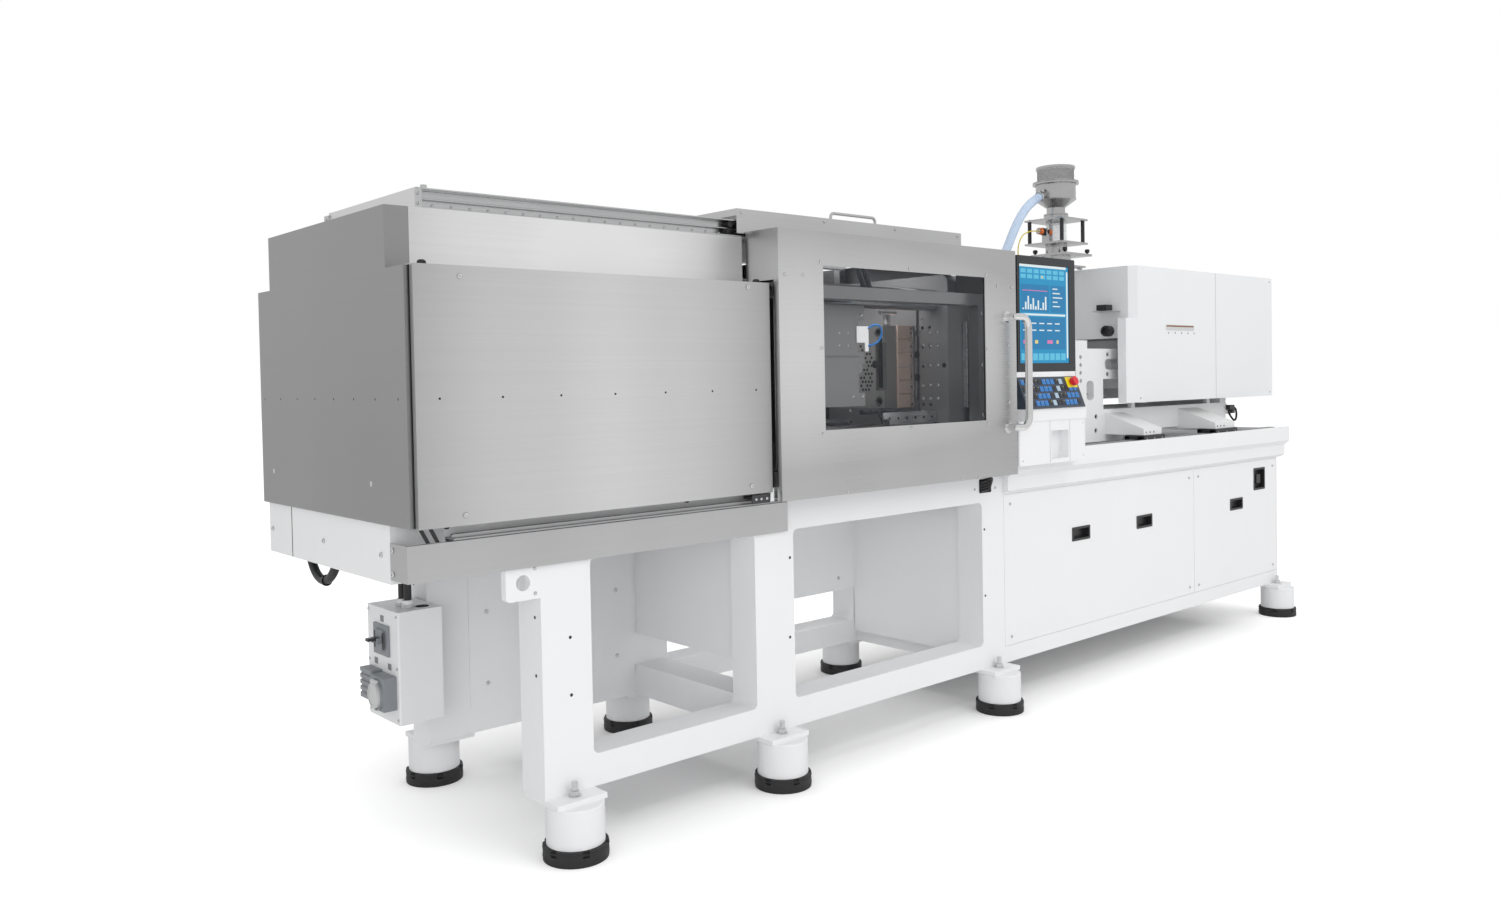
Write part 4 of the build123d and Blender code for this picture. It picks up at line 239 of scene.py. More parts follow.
@dataclass(frozen=True)
class Reading:
    """A value that varies over a surface; arithmetic on it adds Math nodes."""

    shader: Shader
    socket: bpy.types.NodeSocket

    __add__ = arithmetic("ADD")
    __radd__ = arithmetic("ADD", True)
    __sub__ = arithmetic("SUBTRACT")
    __rsub__ = arithmetic("SUBTRACT", True)
    __mul__ = arithmetic("MULTIPLY")
    __truediv__ = arithmetic("DIVIDE")
    __pow__ = arithmetic("POWER")

    def math(self, operation: str, first: Term, second: Term) -> "Reading":
        """Add a Math node.

        Args:
            operation: Blender's name of the operation.
            first: First term.
            second: Second term.

        Returns:
            The result.
        """
        return self.shader.reading(self.shader.node("Math", {0: first, 1: second}, operation=operation))

    def above(self, limit: float) -> "Reading":
        """1 where the value is over a limit, and else 0."""
        return self.math("GREATER_THAN", self, limit)

    def size(self) -> "Reading":
        """The value without its sign."""
        return self.math("MAXIMUM", self, 0.0 - self)

    def within(self) -> "Reading":
        """The value held between 0 and 1."""
        return self.math("MINIMUM", self.math("MAXIMUM", self, 0.0), 1.0)


@dataclass(frozen=True)
class Finish:
    """Base of all finishes; each makes its material once."""

    name: str
    slot: str
    colour: Colour

    def draw(self, shader: Shader) -> None:
        """Make the finish's nodes."""
        raise NotImplementedError

    def material(self) -> bpy.types.Material:
        """The finish's material, made at its first use."""
        if self.name not in MADE:
            MADE[self.name] = bpy.data.materials.new(self.name)
            self.draw(Shader(MADE[self.name]))
        return MADE[self.name]

    def shade(self, share: float) -> Colour:
        """The colour made darker or lighter by a factor."""
        return tuple(min(1.0, part * share) for part in self.colour)


@dataclass(frozen=True)
class Paint(Finish):
    """Powder coat with a fine orange peel and a little unevenness."""

    roughness: float = 0.38
    peel: float = 0.06
    waves: float = 420
    dark: float = 0.955

    def draw(self, shader: Shader) -> None:
        """Make the finish's nodes."""
        grain = shader.noise((self.waves,) * 3, 1)
        cloud = shader.noise((2.2,) * 3, 3)
        shader.surface(Base_Color=shader.blend(cloud * 0.9 + grain * 0.1, self.shade(self.dark), self.colour),
                       Roughness=self.roughness + (cloud - 0.5) * 0.12, Specular_IOR_Level=0.45,
                       Normal=shader.bump(grain, self.peel, 0.0006))


@dataclass(frozen=True)
class Brushed(Finish):
    """Sheet metal with fine brush lines along one axis.

    It may carry a painted highlight that is brightest round one place, painted light that makes it lighter
    above a height, and it is polished beyond the sheet's own face.
    """

    roughness: float = 0.34
    lines: Point = (1.2, 900, 900)
    contrast: float = 0.12
    bands: Point = (2.6, 2.6, 0.12)
    # Painted highlight and painted light: the colour is brightest round a middle place, darker out to a
    # reach, and lighter above a height.
    middle: Point = (0, 0, 0)
    reach: Point = (1000, 1000, 1000)
    highlight_fade: float = 0.0
    painted_step_height: float = 100
    painted_step_gain: float = 1.0
    skin: float = 100
    polish: float = 0.16

    def draw(self, shader: Shader) -> None:
        """Make the finish's nodes."""
        streak = shader.noise(self.lines, 3)
        broad = shader.noise(tuple(part * 0.12 for part in self.lines), 2)
        cloud = shader.noise((1.3,) * 3, 2)
        bands = shader.noise(self.bands, 1)
        share = (streak * 0.25 + broad * 0.1 + cloud * 0.15 + bands * 0.5).within()
        tone = shader.blend(share, self.shade(1 - 2.2 * self.contrast), self.shade(1 + 1.6 * self.contrast))
        rough = self.roughness + (streak - 0.5) * 0.14 + (bands - 0.5) * 0.2
        spots = shader.place()
        proud = spots[1].size().above(self.skin)
        # The colour is scaled by painted light, except on the polished parts beyond the sheet.
        shader.surface(Base_Color=shader.tint(tone, self._painted_highlight(spots) * (1.0 - proud) + proud), Metallic=1.0,
                       Roughness=rough * (1.0 - proud) + proud * self.polish,
                       Normal=shader.bump(streak, 0.06, 0.0002))

    def _painted_highlight(self, spots: Sequence[Reading]) -> Reading:
        """Painted highlight that falls off from one place, and painted light that steps the colour up above a
        height.

        Args:
            spots: The surface's three coordinates.

        Returns:
            A factor of painted light.
        """
        away = [(spot - middle) / reach for spot, middle, reach in zip(spots, self.middle, self.reach)]
        far = (away[0] * away[0] + away[1] * away[1] + away[2] * away[2]).within()
        return (1.0 - far * self.highlight_fade) * (1.0 + spots[2].above(self.painted_step_height) * (self.painted_step_gain - 1))


@dataclass(frozen=True)
class Machined(Finish):
    """Milled or ground steel with tool marks."""

    roughness: float = 0.3
    lines: Point = (500, 500, 40)
    metallic: float = 0.9
    dark: float = 0.72

    def draw(self, shader: Shader) -> None:
        """Make the finish's nodes."""
        marks = shader.noise(self.lines, 2)
        stain = shader.noise((14,) * 3, 4)
        tone = shader.blend((marks * 0.4 + stain * 0.6).within(), self.shade(self.dark), self.colour)
        rough = self.roughness + (marks - 0.5) * 0.2 + (stain - 0.5) * 0.15
        shader.surface(Base_Color=tone, Metallic=self.metallic, Roughness=rough,
                       Normal=shader.bump(marks, 0.1, 0.0003))


@dataclass(frozen=True)
class Plastic(Finish):
    """Moulded plastic or rubber with a fine grain."""

    roughness: float = 0.45
    grain: float = 900
    relief: float = 0.08
    dark: float = 0.85

    def draw(self, shader: Shader) -> None:
        """Make the finish's nodes."""
        fine = shader.noise((self.grain,) * 3, 2)
        cloud = shader.noise((30,) * 3, 3)
        shader.surface(Base_Color=shader.blend(cloud, self.shade(self.dark), self.colour),
                       Roughness=self.roughness + (cloud - 0.5) * 0.15,
                       Normal=shader.bump(fine, self.relief, 0.0004))


@dataclass(frozen=True)
class Clear(Finish):
    """See-through sheet or hose, with faint smears."""

    alpha: float = 0.12
    roughness: float = 0.08
    gloss: float = 0.5

    def draw(self, shader: Shader) -> None:
        """Make the finish's nodes."""
        smear = shader.noise((9, 9, 3), 3)
        shader.surface(Base_Color=(*self.colour, 1.0), Roughness=self.roughness + (smear - 0.4) * 0.08,
                       Specular_IOR_Level=self.gloss, Alpha=self.alpha + (smear - 0.5) * 0.04)


@dataclass(frozen=True)
class Glow(Finish):
    """Lit area of a screen or lamp."""

    strength: float = 0.9
    dark: float = 0.93

    def draw(self, shader: Shader) -> None:
        """Make the finish's nodes."""
        tone = shader.blend(shader.noise((700,) * 3, 0), self.shade(self.dark), self.colour)
        shader.surface(Base_Color=(*self.shade(0.1), 1.0), Roughness=0.2, Emission_Color=tone,
                       Emission_Strength=self.strength)


@dataclass(frozen=True)
class Board(Finish):
    """Pressed insulating board with speckles."""

    roughness: float = 0.62
    dark: float = 0.7

    def draw(self, shader: Shader) -> None:
        """Make the finish's nodes."""
        speck = shader.noise((260,) * 3, 4)
        cloud = shader.noise((12, 12, 30), 3)
        tone = shader.blend((speck * 0.5 + cloud * 0.5).within(), self.shade(self.dark), self.colour)
        shader.surface(Base_Color=tone, Roughness=self.roughness + (speck - 0.5) * 0.2,
                       Normal=shader.bump(speck, 0.2, 0.0004))


WHITE_PAINT = Paint("white_paint", "white_frame", (0.84, 0.845, 0.855))
WARM_WHITE = Paint("console_white", "white_console", (0.84, 0.845, 0.855), 0.42)
COVER_WHITE = Paint("cover_white", "white_cover", (0.80, 0.81, 0.825), 0.4)
FOOT_WHITE = Paint("foot_white", "white_foot", (0.83, 0.835, 0.845), 0.45, 0.12, 300)
CAST_WHITE = Paint("cast_white", "white_cast", (0.80, 0.805, 0.81), 0.46, 0.22, 240)
GREY_PAINT = Paint("grey_paint", "drive_grey", (0.17, 0.175, 0.18), 0.5, 0.1)
MONITOR_GREY = Plastic("monitor_grey", "monitor_grey", (0.028, 0.030, 0.033), 0.45)
LIGHT_PLASTIC = Plastic("light_plastic", "lid_grey", (0.62, 0.63, 0.63), 0.4)
SOCKET_GREY = Plastic("socket_plastic", "grey_socket", (0.27, 0.29, 0.31), 0.45)
LABEL_GREY = Plastic("blank_label", "grey_socket", (0.24, 0.25, 0.26), 0.5)
BRUSHED_END = Brushed("brushed_end_panel", "brushed_end", (0.38, 0.38, 0.385), 0.36, (900, 1.2, 900))
# The cover and door sheets carry a painted highlight round a middle place; the cover also has a painted
# lighter top above a height.
BRUSHED_HOOD = Brushed("brushed_cover", "brushed_cover", (0.80, 0.80, 0.805), 0.33, middle=(-1.86, 0, 1.3),
                       reach=(0.60, 100, 0.9), highlight_fade=0.36, painted_step_height=1.502, painted_step_gain=1.35)
BRUSHED_DOOR = Brushed("brushed_door_skin", "brushed_door", (0.90, 0.90, 0.905), 0.32,
                       middle=(-1.25, 0, 1.30), reach=(1.6, 100, 0.36), highlight_fade=0.33, skin=0.5285)
BRUSHED_STRIP = Brushed("brushed_strip", "brushed_apron", (0.56, 0.56, 0.565), 0.33)
GATE_SKIN = Brushed("brushed_gate_skin", "brushed_gate", (0.65, 0.65, 0.655), 0.34)
ALUMINIUM = Brushed("rail_aluminium", "gate_aluminium", (0.63, 0.635, 0.64), 0.28, (1.5, 400, 400), 0.05)
COVER_SHEET = Brushed("cover_sheet_steel", "cover_sheet", (0.30, 0.30, 0.305), 0.4)
GROUND = Machined("ground_steel", "ground_bar", (0.62, 0.625, 0.63), 0.2, (60, 300, 300), 1.0)
PLATEN = Machined("platen_steel", "platen_grey", (0.27, 0.27, 0.275), 0.42, (240, 420, 60), 0.75)
MOULD = Machined("mould_block_steel", "mould_steel", (0.34, 0.335, 0.33), 0.36, (420, 420, 60), 0.85)
RAIL_STEEL = Machined("bearing_steel", "rail_steel", (0.50, 0.505, 0.51), 0.42)
DARK_STEEL = Machined("dark_steel", "shoe_black", (0.10, 0.10, 0.105), 0.4, (200, 200, 200), 0.8)
LINK_CAST = Machined("link_iron", "link_cast", (0.33, 0.34, 0.35), 0.5, (160, 160, 160), 0.6)
HOPPER_STEEL = Machined("hopper_steel", "loader_steel", (0.60, 0.60, 0.60), 0.26, (400, 400, 30), 1.0)
SCREW_STEEL = Machined("bright_screw", "zinc_bolt", (0.80, 0.80, 0.81), 0.22, (300, 300, 300), 1.0)
BLACK_RUBBER = Plastic("black_rubber", "black_rubber", (0.018, 0.018, 0.019), 0.55, 500, 0.15)
BLACK_HOSE = Plastic("black_hose", "black_hose", (0.02, 0.02, 0.021), 0.42, 700, 0.1)
BLACK_PLASTIC = Plastic("black_plastic", "black_plastic", (0.022, 0.022, 0.024), 0.35)
# Near-black stand-in for holes, slots, vents and openings, which is painted shade; it also colours one dark
# seam.
HOLE_SHADE_AND_SEAM = Plastic("painted_hole_shade_and_dark_seam", "black_plastic", (0.006, 0.006, 0.006), 0.8)
WINDOW = Clear("window_sheet", "window_pane", (0.20, 0.22, 0.25), 0.04, 0.05, 0.1)
SIGHT = Clear("sight_tube", "sight_clear", (0.85, 0.88, 0.90), 0.25, 0.06)
HOSE_CLEAR = Clear("clear_hose", "hose_clear", (0.55, 0.68, 0.86), 0.72, 0.25)
BROWN_BOARD = Board("insulating_board", "brown_plate", (0.30, 0.235, 0.205))
STOP_RED = Plastic("stop_red", "stop_red", (0.72, 0.02, 0.03), 0.3)
STOP_YELLOW = Plastic("stop_yellow", "cable_yellow", (0.90, 0.72, 0.02), 0.35)
CABLE_YELLOW = Plastic("cable_yellow", "cable_yellow", (0.72, 0.56, 0.05), 0.4)
SLIT_AMBER = Plastic("slit_amber", "black_plastic", (0.24, 0.10, 0.035), 0.35)
SENSOR_ORANGE = Plastic("sensor_orange", "black_plastic", (0.80, 0.16, 0.02), 0.35)
AIR_BLUE = Plastic("air_blue", "black_hose", (0.01, 0.16, 0.48), 0.35)
KEY_BLUE = Plastic("key_blue", "keyboard_dark", (0.03, 0.20, 0.55), 0.4)
KEY_DARK = Plastic("key_dark", "keyboard_dark", (0.022, 0.026, 0.034), 0.4)
KEY_PALE = Plastic("key_pale", "keyboard_dark", (0.42, 0.55, 0.66), 0.4)
KEYBOARD = Plastic("keyboard_foil", "keyboard_dark", (0.045, 0.06, 0.085), 0.38)
SCREEN_BLUE = Glow("screen_blue", "monitor_grey", (0.0, 0.27, 0.52))
SCREEN_DEEP = Glow("screen_deep", "monitor_grey", (0.0, 0.19, 0.42))
SCREEN_SKY = Glow("screen_sky", "monitor_grey", (0.10, 0.50, 0.72))
SCREEN_PALE = Glow("screen_pale", "monitor_grey", (0.72, 0.82, 0.84))
SCREEN_PINK = Glow("screen_pink", "monitor_grey", (0.72, 0.18, 0.42))
SCREEN_SAND = Glow("screen_sand", "monitor_grey", (0.78, 0.62, 0.22))

CAD_FINISHES: dict[str, Finish] = {
    "clamp_frame": WHITE_PAINT, "foot_pads": BLACK_RUBBER, "foot_cylinders": FOOT_WHITE,
    "anchor_bolts": SCREW_STEEL, "apron": BRUSHED_STRIP, "end_panel": BRUSHED_END,
    "clamp_covers": BRUSHED_HOOD, "door_rails": RAIL_STEEL, "gate_rails": ALUMINIUM,
    "platen_brackets": COVER_SHEET, "rear_platen": PLATEN, "fixed_platen": PLATEN,
    "tie_bars": GROUND, "fixed_mould": MOULD, "insulating_plate": BROWN_BOARD,
    "clamp_drive": GREY_PAINT, "power_box": WHITE_PAINT, "sockets": SOCKET_GREY,
    "base_hoses": BLACK_HOSE, "top_gate": GATE_SKIN, "front_door": BRUSHED_DOOR,
    "rear_door": BRUSHED_DOOR, "front_window": WINDOW, "rear_window": WINDOW,
    "moving_platen": PLATEN, "platen_cover": COVER_SHEET, "moving_mould": MOULD,
    "ejector": RAIL_STEEL, "rear_links_upper": LINK_CAST, "rear_links_lower": LINK_CAST,
    "front_links_upper": LINK_CAST, "front_links_lower": LINK_CAST, "cross_links_upper": LINK_CAST,
    "cross_links_lower": LINK_CAST, "crosshead": PLATEN, "clamp_screw": GROUND,
    "breaker_lever": BLACK_PLASTIC, "socket_lid": LIGHT_PLASTIC, "injection_frame": WHITE_PAINT,
    "skirt_panels": WHITE_PAINT, "panel_pulls": BLACK_PLASTIC, "bed_rim": WHITE_PAINT,
    "linear_rails": RAIL_STEEL, "console_box": WARM_WHITE, "keyboard": KEYBOARD,
    "monitor": MONITOR_GREY, "stop_button": STOP_RED, "carriage": CAST_WHITE,
    "bearing_shoes": DARK_STEEL, "barrel": GROUND, "plasticising_screw": GROUND,
    "injection_plate": CAST_WHITE, "injection_cover": COVER_WHITE, "hopper_throat": HOPPER_STEEL,
    "hopper_shutter": HOPPER_STEEL, "sight_glass": SIGHT, "loader": HOPPER_STEEL,
    "sensor_cable": CABLE_YELLOW,
}


def spread(low: float, high: float, count: int) -> list[float]:
    """Evenly spaced values, both ends included."""
    return [low + (high - low) * number / (count - 1) for number in range(count)]


def rounded(a: Span, b: Span, radius: float, steps: int = 4) -> list[Span]:
    """Outline of a rectangle with round corners.

    Args:
        a: Low and high value on the first axis.
        b: Low and high value on the second axis.
        radius: Radius of the corners.
        steps: Points made for each corner, less one.

    Returns:
        Corner points.
    """
    made = []
    for x, y, start in ((a[1] - radius, b[0] + radius, 270), (a[1] - radius, b[1] - radius, 0),
                        (a[0] + radius, b[1] - radius, 90), (a[0] + radius, b[0] + radius, 180)):
        for step in range(steps + 1):
            turn = math.radians(start + 90.0 * step / steps)
            made.append((x + radius * math.cos(turn), y + radius * math.sin(turn)))
    return made


def smooth_line(points: Sequence[Point], steps: int = 8) -> list[Vector]:
    """Round line between control points.

    Args:
        points: Control points in millimetres.
        steps: Points made for each span.

    Returns:
        Points of the line in metres.
    """
    curve = bpy.data.curves.new("line", "CURVE")
    curve.dimensions = "3D"
    spline = curve.splines.new("NURBS")
    spline.points.add(len(points) - 1)
    for spot, point in zip(spline.points, points):
        spot.co = (*at(*point), 1.0)
    spline.order_u = 3
    spline.use_endpoint_u = True
    spline.resolution_u = steps
    holder = bpy.data.objects.new("line", curve)
    bpy.context.scene.collection.objects.link(holder)
    drawn = bpy.data.meshes.new_from_object(holder.evaluated_get(bpy.context.evaluated_depsgraph_get()))
    line = [vertex.co.copy() for vertex in drawn.vertices]
    bpy.data.objects.remove(holder)
    bpy.data.meshes.remove(drawn)
    return line


def even_line(line: Sequence[Vector], step: float) -> list[Vector]:
    """Points at even distances along a line.

    Args:
        line: Points of the line in metres.
        step: Distance between two new points in metres.

    Returns:
        The new points.
    """
    made = [line[0]]
    left = step
    for one, two in zip(line, line[1:]):
        length = (two - one).length
        while length and left <= length:
            made.append(one.lerp(two, left / length))
            left += step
        left -= length
    return made + [line[-1]]


def soften(made: bpy.types.Object, width: float, clean: bool = False) -> None:
    """Give a piece rounded edges and smooth shading.

    Args:
        made: The piece.
        width: Width of the rounded edges in millimetres, or 0 for none.
        clean: Whether flat areas are joined first, as a CAD mesh needs.
    """
    if clean:
        weld = made.modifiers.new("weld", "WELD")
        weld.merge_threshold = 0.00001
        flat = made.modifiers.new("flat", "DECIMATE")
        flat.decimate_type = "DISSOLVE"
        flat.angle_limit = math.radians(0.5)
    if width > 0.0:
        bevel = made.modifiers.new("edges", "BEVEL")
        bevel.width = width * MILLIMETRE
        bevel.segments = 2
        bevel.limit_method = "ANGLE"
        bevel.angle_limit = math.radians(40.0)
        bevel.miter_outer = "MITER_ARC"
    made.data.shade_smooth()
    level = made.modifiers.new("shading", "WEIGHTED_NORMAL")
    level.keep_sharp = True
    level.weight = 100


class Workpiece:
    """Mesh under construction, in the machine's own millimetres; each adding method returns the piece."""

    def __init__(self, name: str) -> None:
        """Start an empty mesh.

        Args:
            name: Name of the piece.
        """
        self.name = name
        self.mesh = bmesh.new()

    def block(self, x: Span, y: Span, z: Span) -> "Workpiece":
        """Add a box between low and high values on the three axes."""
        return self.prism([(x[0], y[0]), (x[1], y[0]), (x[1], y[1]), (x[0], y[1])], Axis.Z, z)

    def prism(self, outline: Profile, axis: Axis, span: Span) -> "Workpiece":
        """Add an outline drawn out along an axis.

        Args:
            outline: Corner points, in the order of the two other axes.
            axis: Axis along which it is drawn out.
            span: Start and end on that axis.
        """
        rings = []
        for level in span:
            spots = [(*corner[:axis.value], level, *corner[axis.value:]) for corner in outline]
            rings.append([self.mesh.verts.new(at(*spot)) for spot in spots])
        return self._join(rings)

    def _join(self, rings: Sequence[Sequence[bmesh.types.BMVert]], ends: bool = True) -> "Workpiece":
        """Join rings of points by a skin.

        Args:
            rings: Rings with the same number of points.
            ends: Whether the first and last ring are closed by a face.
        """
        count = len(rings[0])
        for one, two in zip(rings, rings[1:]):
            for spot in range(count):
                after = (spot + 1) % count
                self.mesh.faces.new((one[spot], one[after], two[after], two[spot]))
        if ends:
            self.mesh.faces.new(rings[0])
            self.mesh.faces.new(list(reversed(rings[-1])))
        return self

    def _circle(self, origin: Vector, ahead: Vector, side: Vector, up: Vector, radius: float,
                steps: int) -> list[bmesh.types.BMVert]:
        """Points round a line.

        Args:
            origin: Start of the line in metres.
            ahead: Way along it in millimetres.
            side: First direction across it.
            up: Second direction across it.
            radius: Radius of the circle.
            steps: Number of points.

        Returns:
            The points.
        """
        turns = [math.tau * step / steps for step in range(steps)]
        ways = [side * math.cos(turn) + up * math.sin(turn) for turn in turns]
        return [self.mesh.verts.new(origin + (ahead + way * radius) * MILLIMETRE) for way in ways]

    def lathe(self, profile: Profile, centre: Point, direction: Point, steps: int = 24,
              ends: bool = True) -> "Workpiece":
        """Add a turned form.

        Args:
            profile: Distance along the direction and radius of each ring.
            centre: Start of the turning axis.
            direction: Direction of the turning axis.
            steps: Number of sides.
            ends: Whether the first and last ring are closed by a face.
        """
        origin, forward = at(*centre), Vector(direction).normalized()
        side = forward.orthogonal().normalized()
        up = forward.cross(side)
        rings = [self._circle(origin, forward * along, side, up, radius, steps) for along, radius in profile]
        return self._join(rings, ends)

    def heads(self, centres: Iterable[Point], direction: Point, radius: float) -> "Workpiece":
        """Add round screw heads with a socket.

        Args:
            centres: Middle of each head's seat.
            direction: Way that they face.
            radius: Radius of a head.
        """
        shares = ((0.0, 1.0), (0.25, 0.97), (0.55, 0.72), (0.62, 0.42), (0.2, 0.36))
        profile = [(radius * along, radius * out) for along, out in shares]
        for centre in centres:
            self.lathe(profile, centre, direction, 14)
        return self

    def discs(self, centres: Iterable[Point], direction: Point, radius: float, high: float,
              steps: int = 14) -> "Workpiece":
        """Add thin discs, such as plugs in drilled holes.

        Args:
            centres: Middle of each disc's seat.
            direction: Way that they face.
            radius: Radius of a disc.
            high: Height of a disc.
            steps: Number of sides.
        """
        for centre in centres:
            self.lathe([(0.0, radius), (high * 0.7, radius), (high, radius * 0.94)], centre, direction, steps)
        return self

    def ring(self, centre: Point, direction: Point, outer: float, inner: float, high: float,
             steps: int = 28) -> "Workpiece":
        """Add a flat ring.

        Args:
            centre: Middle of its seat.
            direction: Way that it faces.
            outer: Outer radius.
            inner: Radius of the opening.
            high: Height of the ring.
            steps: Number of sides.
        """
        profile = [(0.0, outer), (high, outer), (high, inner), (0.0, inner), (0.0, outer)]
        return self.lathe(profile, centre, direction, steps, False)

    def slab(self, corners: Sequence[Point], lift: Point) -> "Workpiece":
        """Add a flat plate.

        Args:
            corners: Corners of the lower face.
            lift: Way from the lower to the upper face.
        """
        raised = [tuple(a + b for a, b in zip(corner, lift)) for corner in corners]
        return self._join([[self.mesh.verts.new(at(*spot)) for spot in ring] for ring in (corners, raised)])

    def tube(self, points: Sequence[Point], radius: float, steps: int = 12, ripple: float = 0.0,
             pitch: float = 6.0) -> "Workpiece":
        """Add a tube along a curve through points.

        Args:
            points: Control points of its line.
            radius: Radius of the tube.
            steps: Number of sides.
            ripple: Depth of the ribs round the tube.
            pitch: Length of one rib along the tube.
        """
        line = smooth_line(points)
        if ripple:
            line = even_line(line, pitch / RIB_STEPS * MILLIMETRE)
        side, rings, still = None, [], Vector((0, 0, 0))
        for spot, place in enumerate(line):
            before, after = line[max(spot - 1, 0)], line[min(spot + 1, len(line) - 1)]
            forward = (after - before).normalized()
            side = forward.orthogonal() if side is None else side - forward * side.dot(forward)
            side.normalize()
            wave = radius - ripple * (0.5 - 0.5 * math.cos(math.tau * spot / RIB_STEPS))
            rings.append(self._circle(place, still, side, forward.cross(side), wave, steps))
        return self._join(rings)

    def place(self, finish: Finish, bevel: float = 0.0) -> bpy.types.Object:
        """Turn the mesh into an object with its finish.

        Args:
            finish: Its finish.
            bevel: Width of the rounded edges in millimetres.

        Returns:
            The new object.
        """
        bmesh.ops.recalc_face_normals(self.mesh, faces=self.mesh.faces)
        data = bpy.data.meshes.new(self.name)
        self.mesh.to_mesh(data)
        self.mesh.free()
        made = bpy.data.objects.new(self.name, data)
        bpy.context.scene.collection.objects.link(made)
        data.materials.append(finish.material())
        soften(made, bevel)
        return made

    def finish(self, finish: Finish, bevel: float = 0.0, body: Body = Body.BASE) -> None:
        """Turn the mesh into a piece that rides on a body.

        Args:
            finish: Its finish.
            bevel: Width of the rounded edges in millimetres.
            body: Body that it moves with.
        """
        made = self.place(finish, bevel)
        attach(made, body.value)
        LOG.info("%s rides on %s", self.name, body.value)


def screws(name: str, seats: Iterable[Point], way: Point, radius: float, body: Body = Body.BASE) -> None:
    """Make one piece of bright screw heads.

    Args:
        name: Name of the piece.
        seats: Middle of each head's seat.
        way: Way that they face.
        radius: Radius of a head.
        body: Body that they move with.
    """
    Workpiece(name).heads(seats, way, radius).finish(SCREW_STEEL, body=body)


def dots(name: str, seats: Iterable[Point], way: Point, radius: float, high: float, finish: Finish,
         body: Body = Body.BASE, steps: int = 14) -> None:
    """Make one piece of thin discs.

    Args:
        name: Name of the piece.
        seats: Middle of each disc's seat.
        way: Way that they face.
        radius: Radius of a disc.
        high: Height of a disc.
        finish: Their finish.
        body: Body that they move with.
        steps: Number of sides.
    """
    Workpiece(name).discs(seats, way, radius, high, steps).finish(finish, body=body)


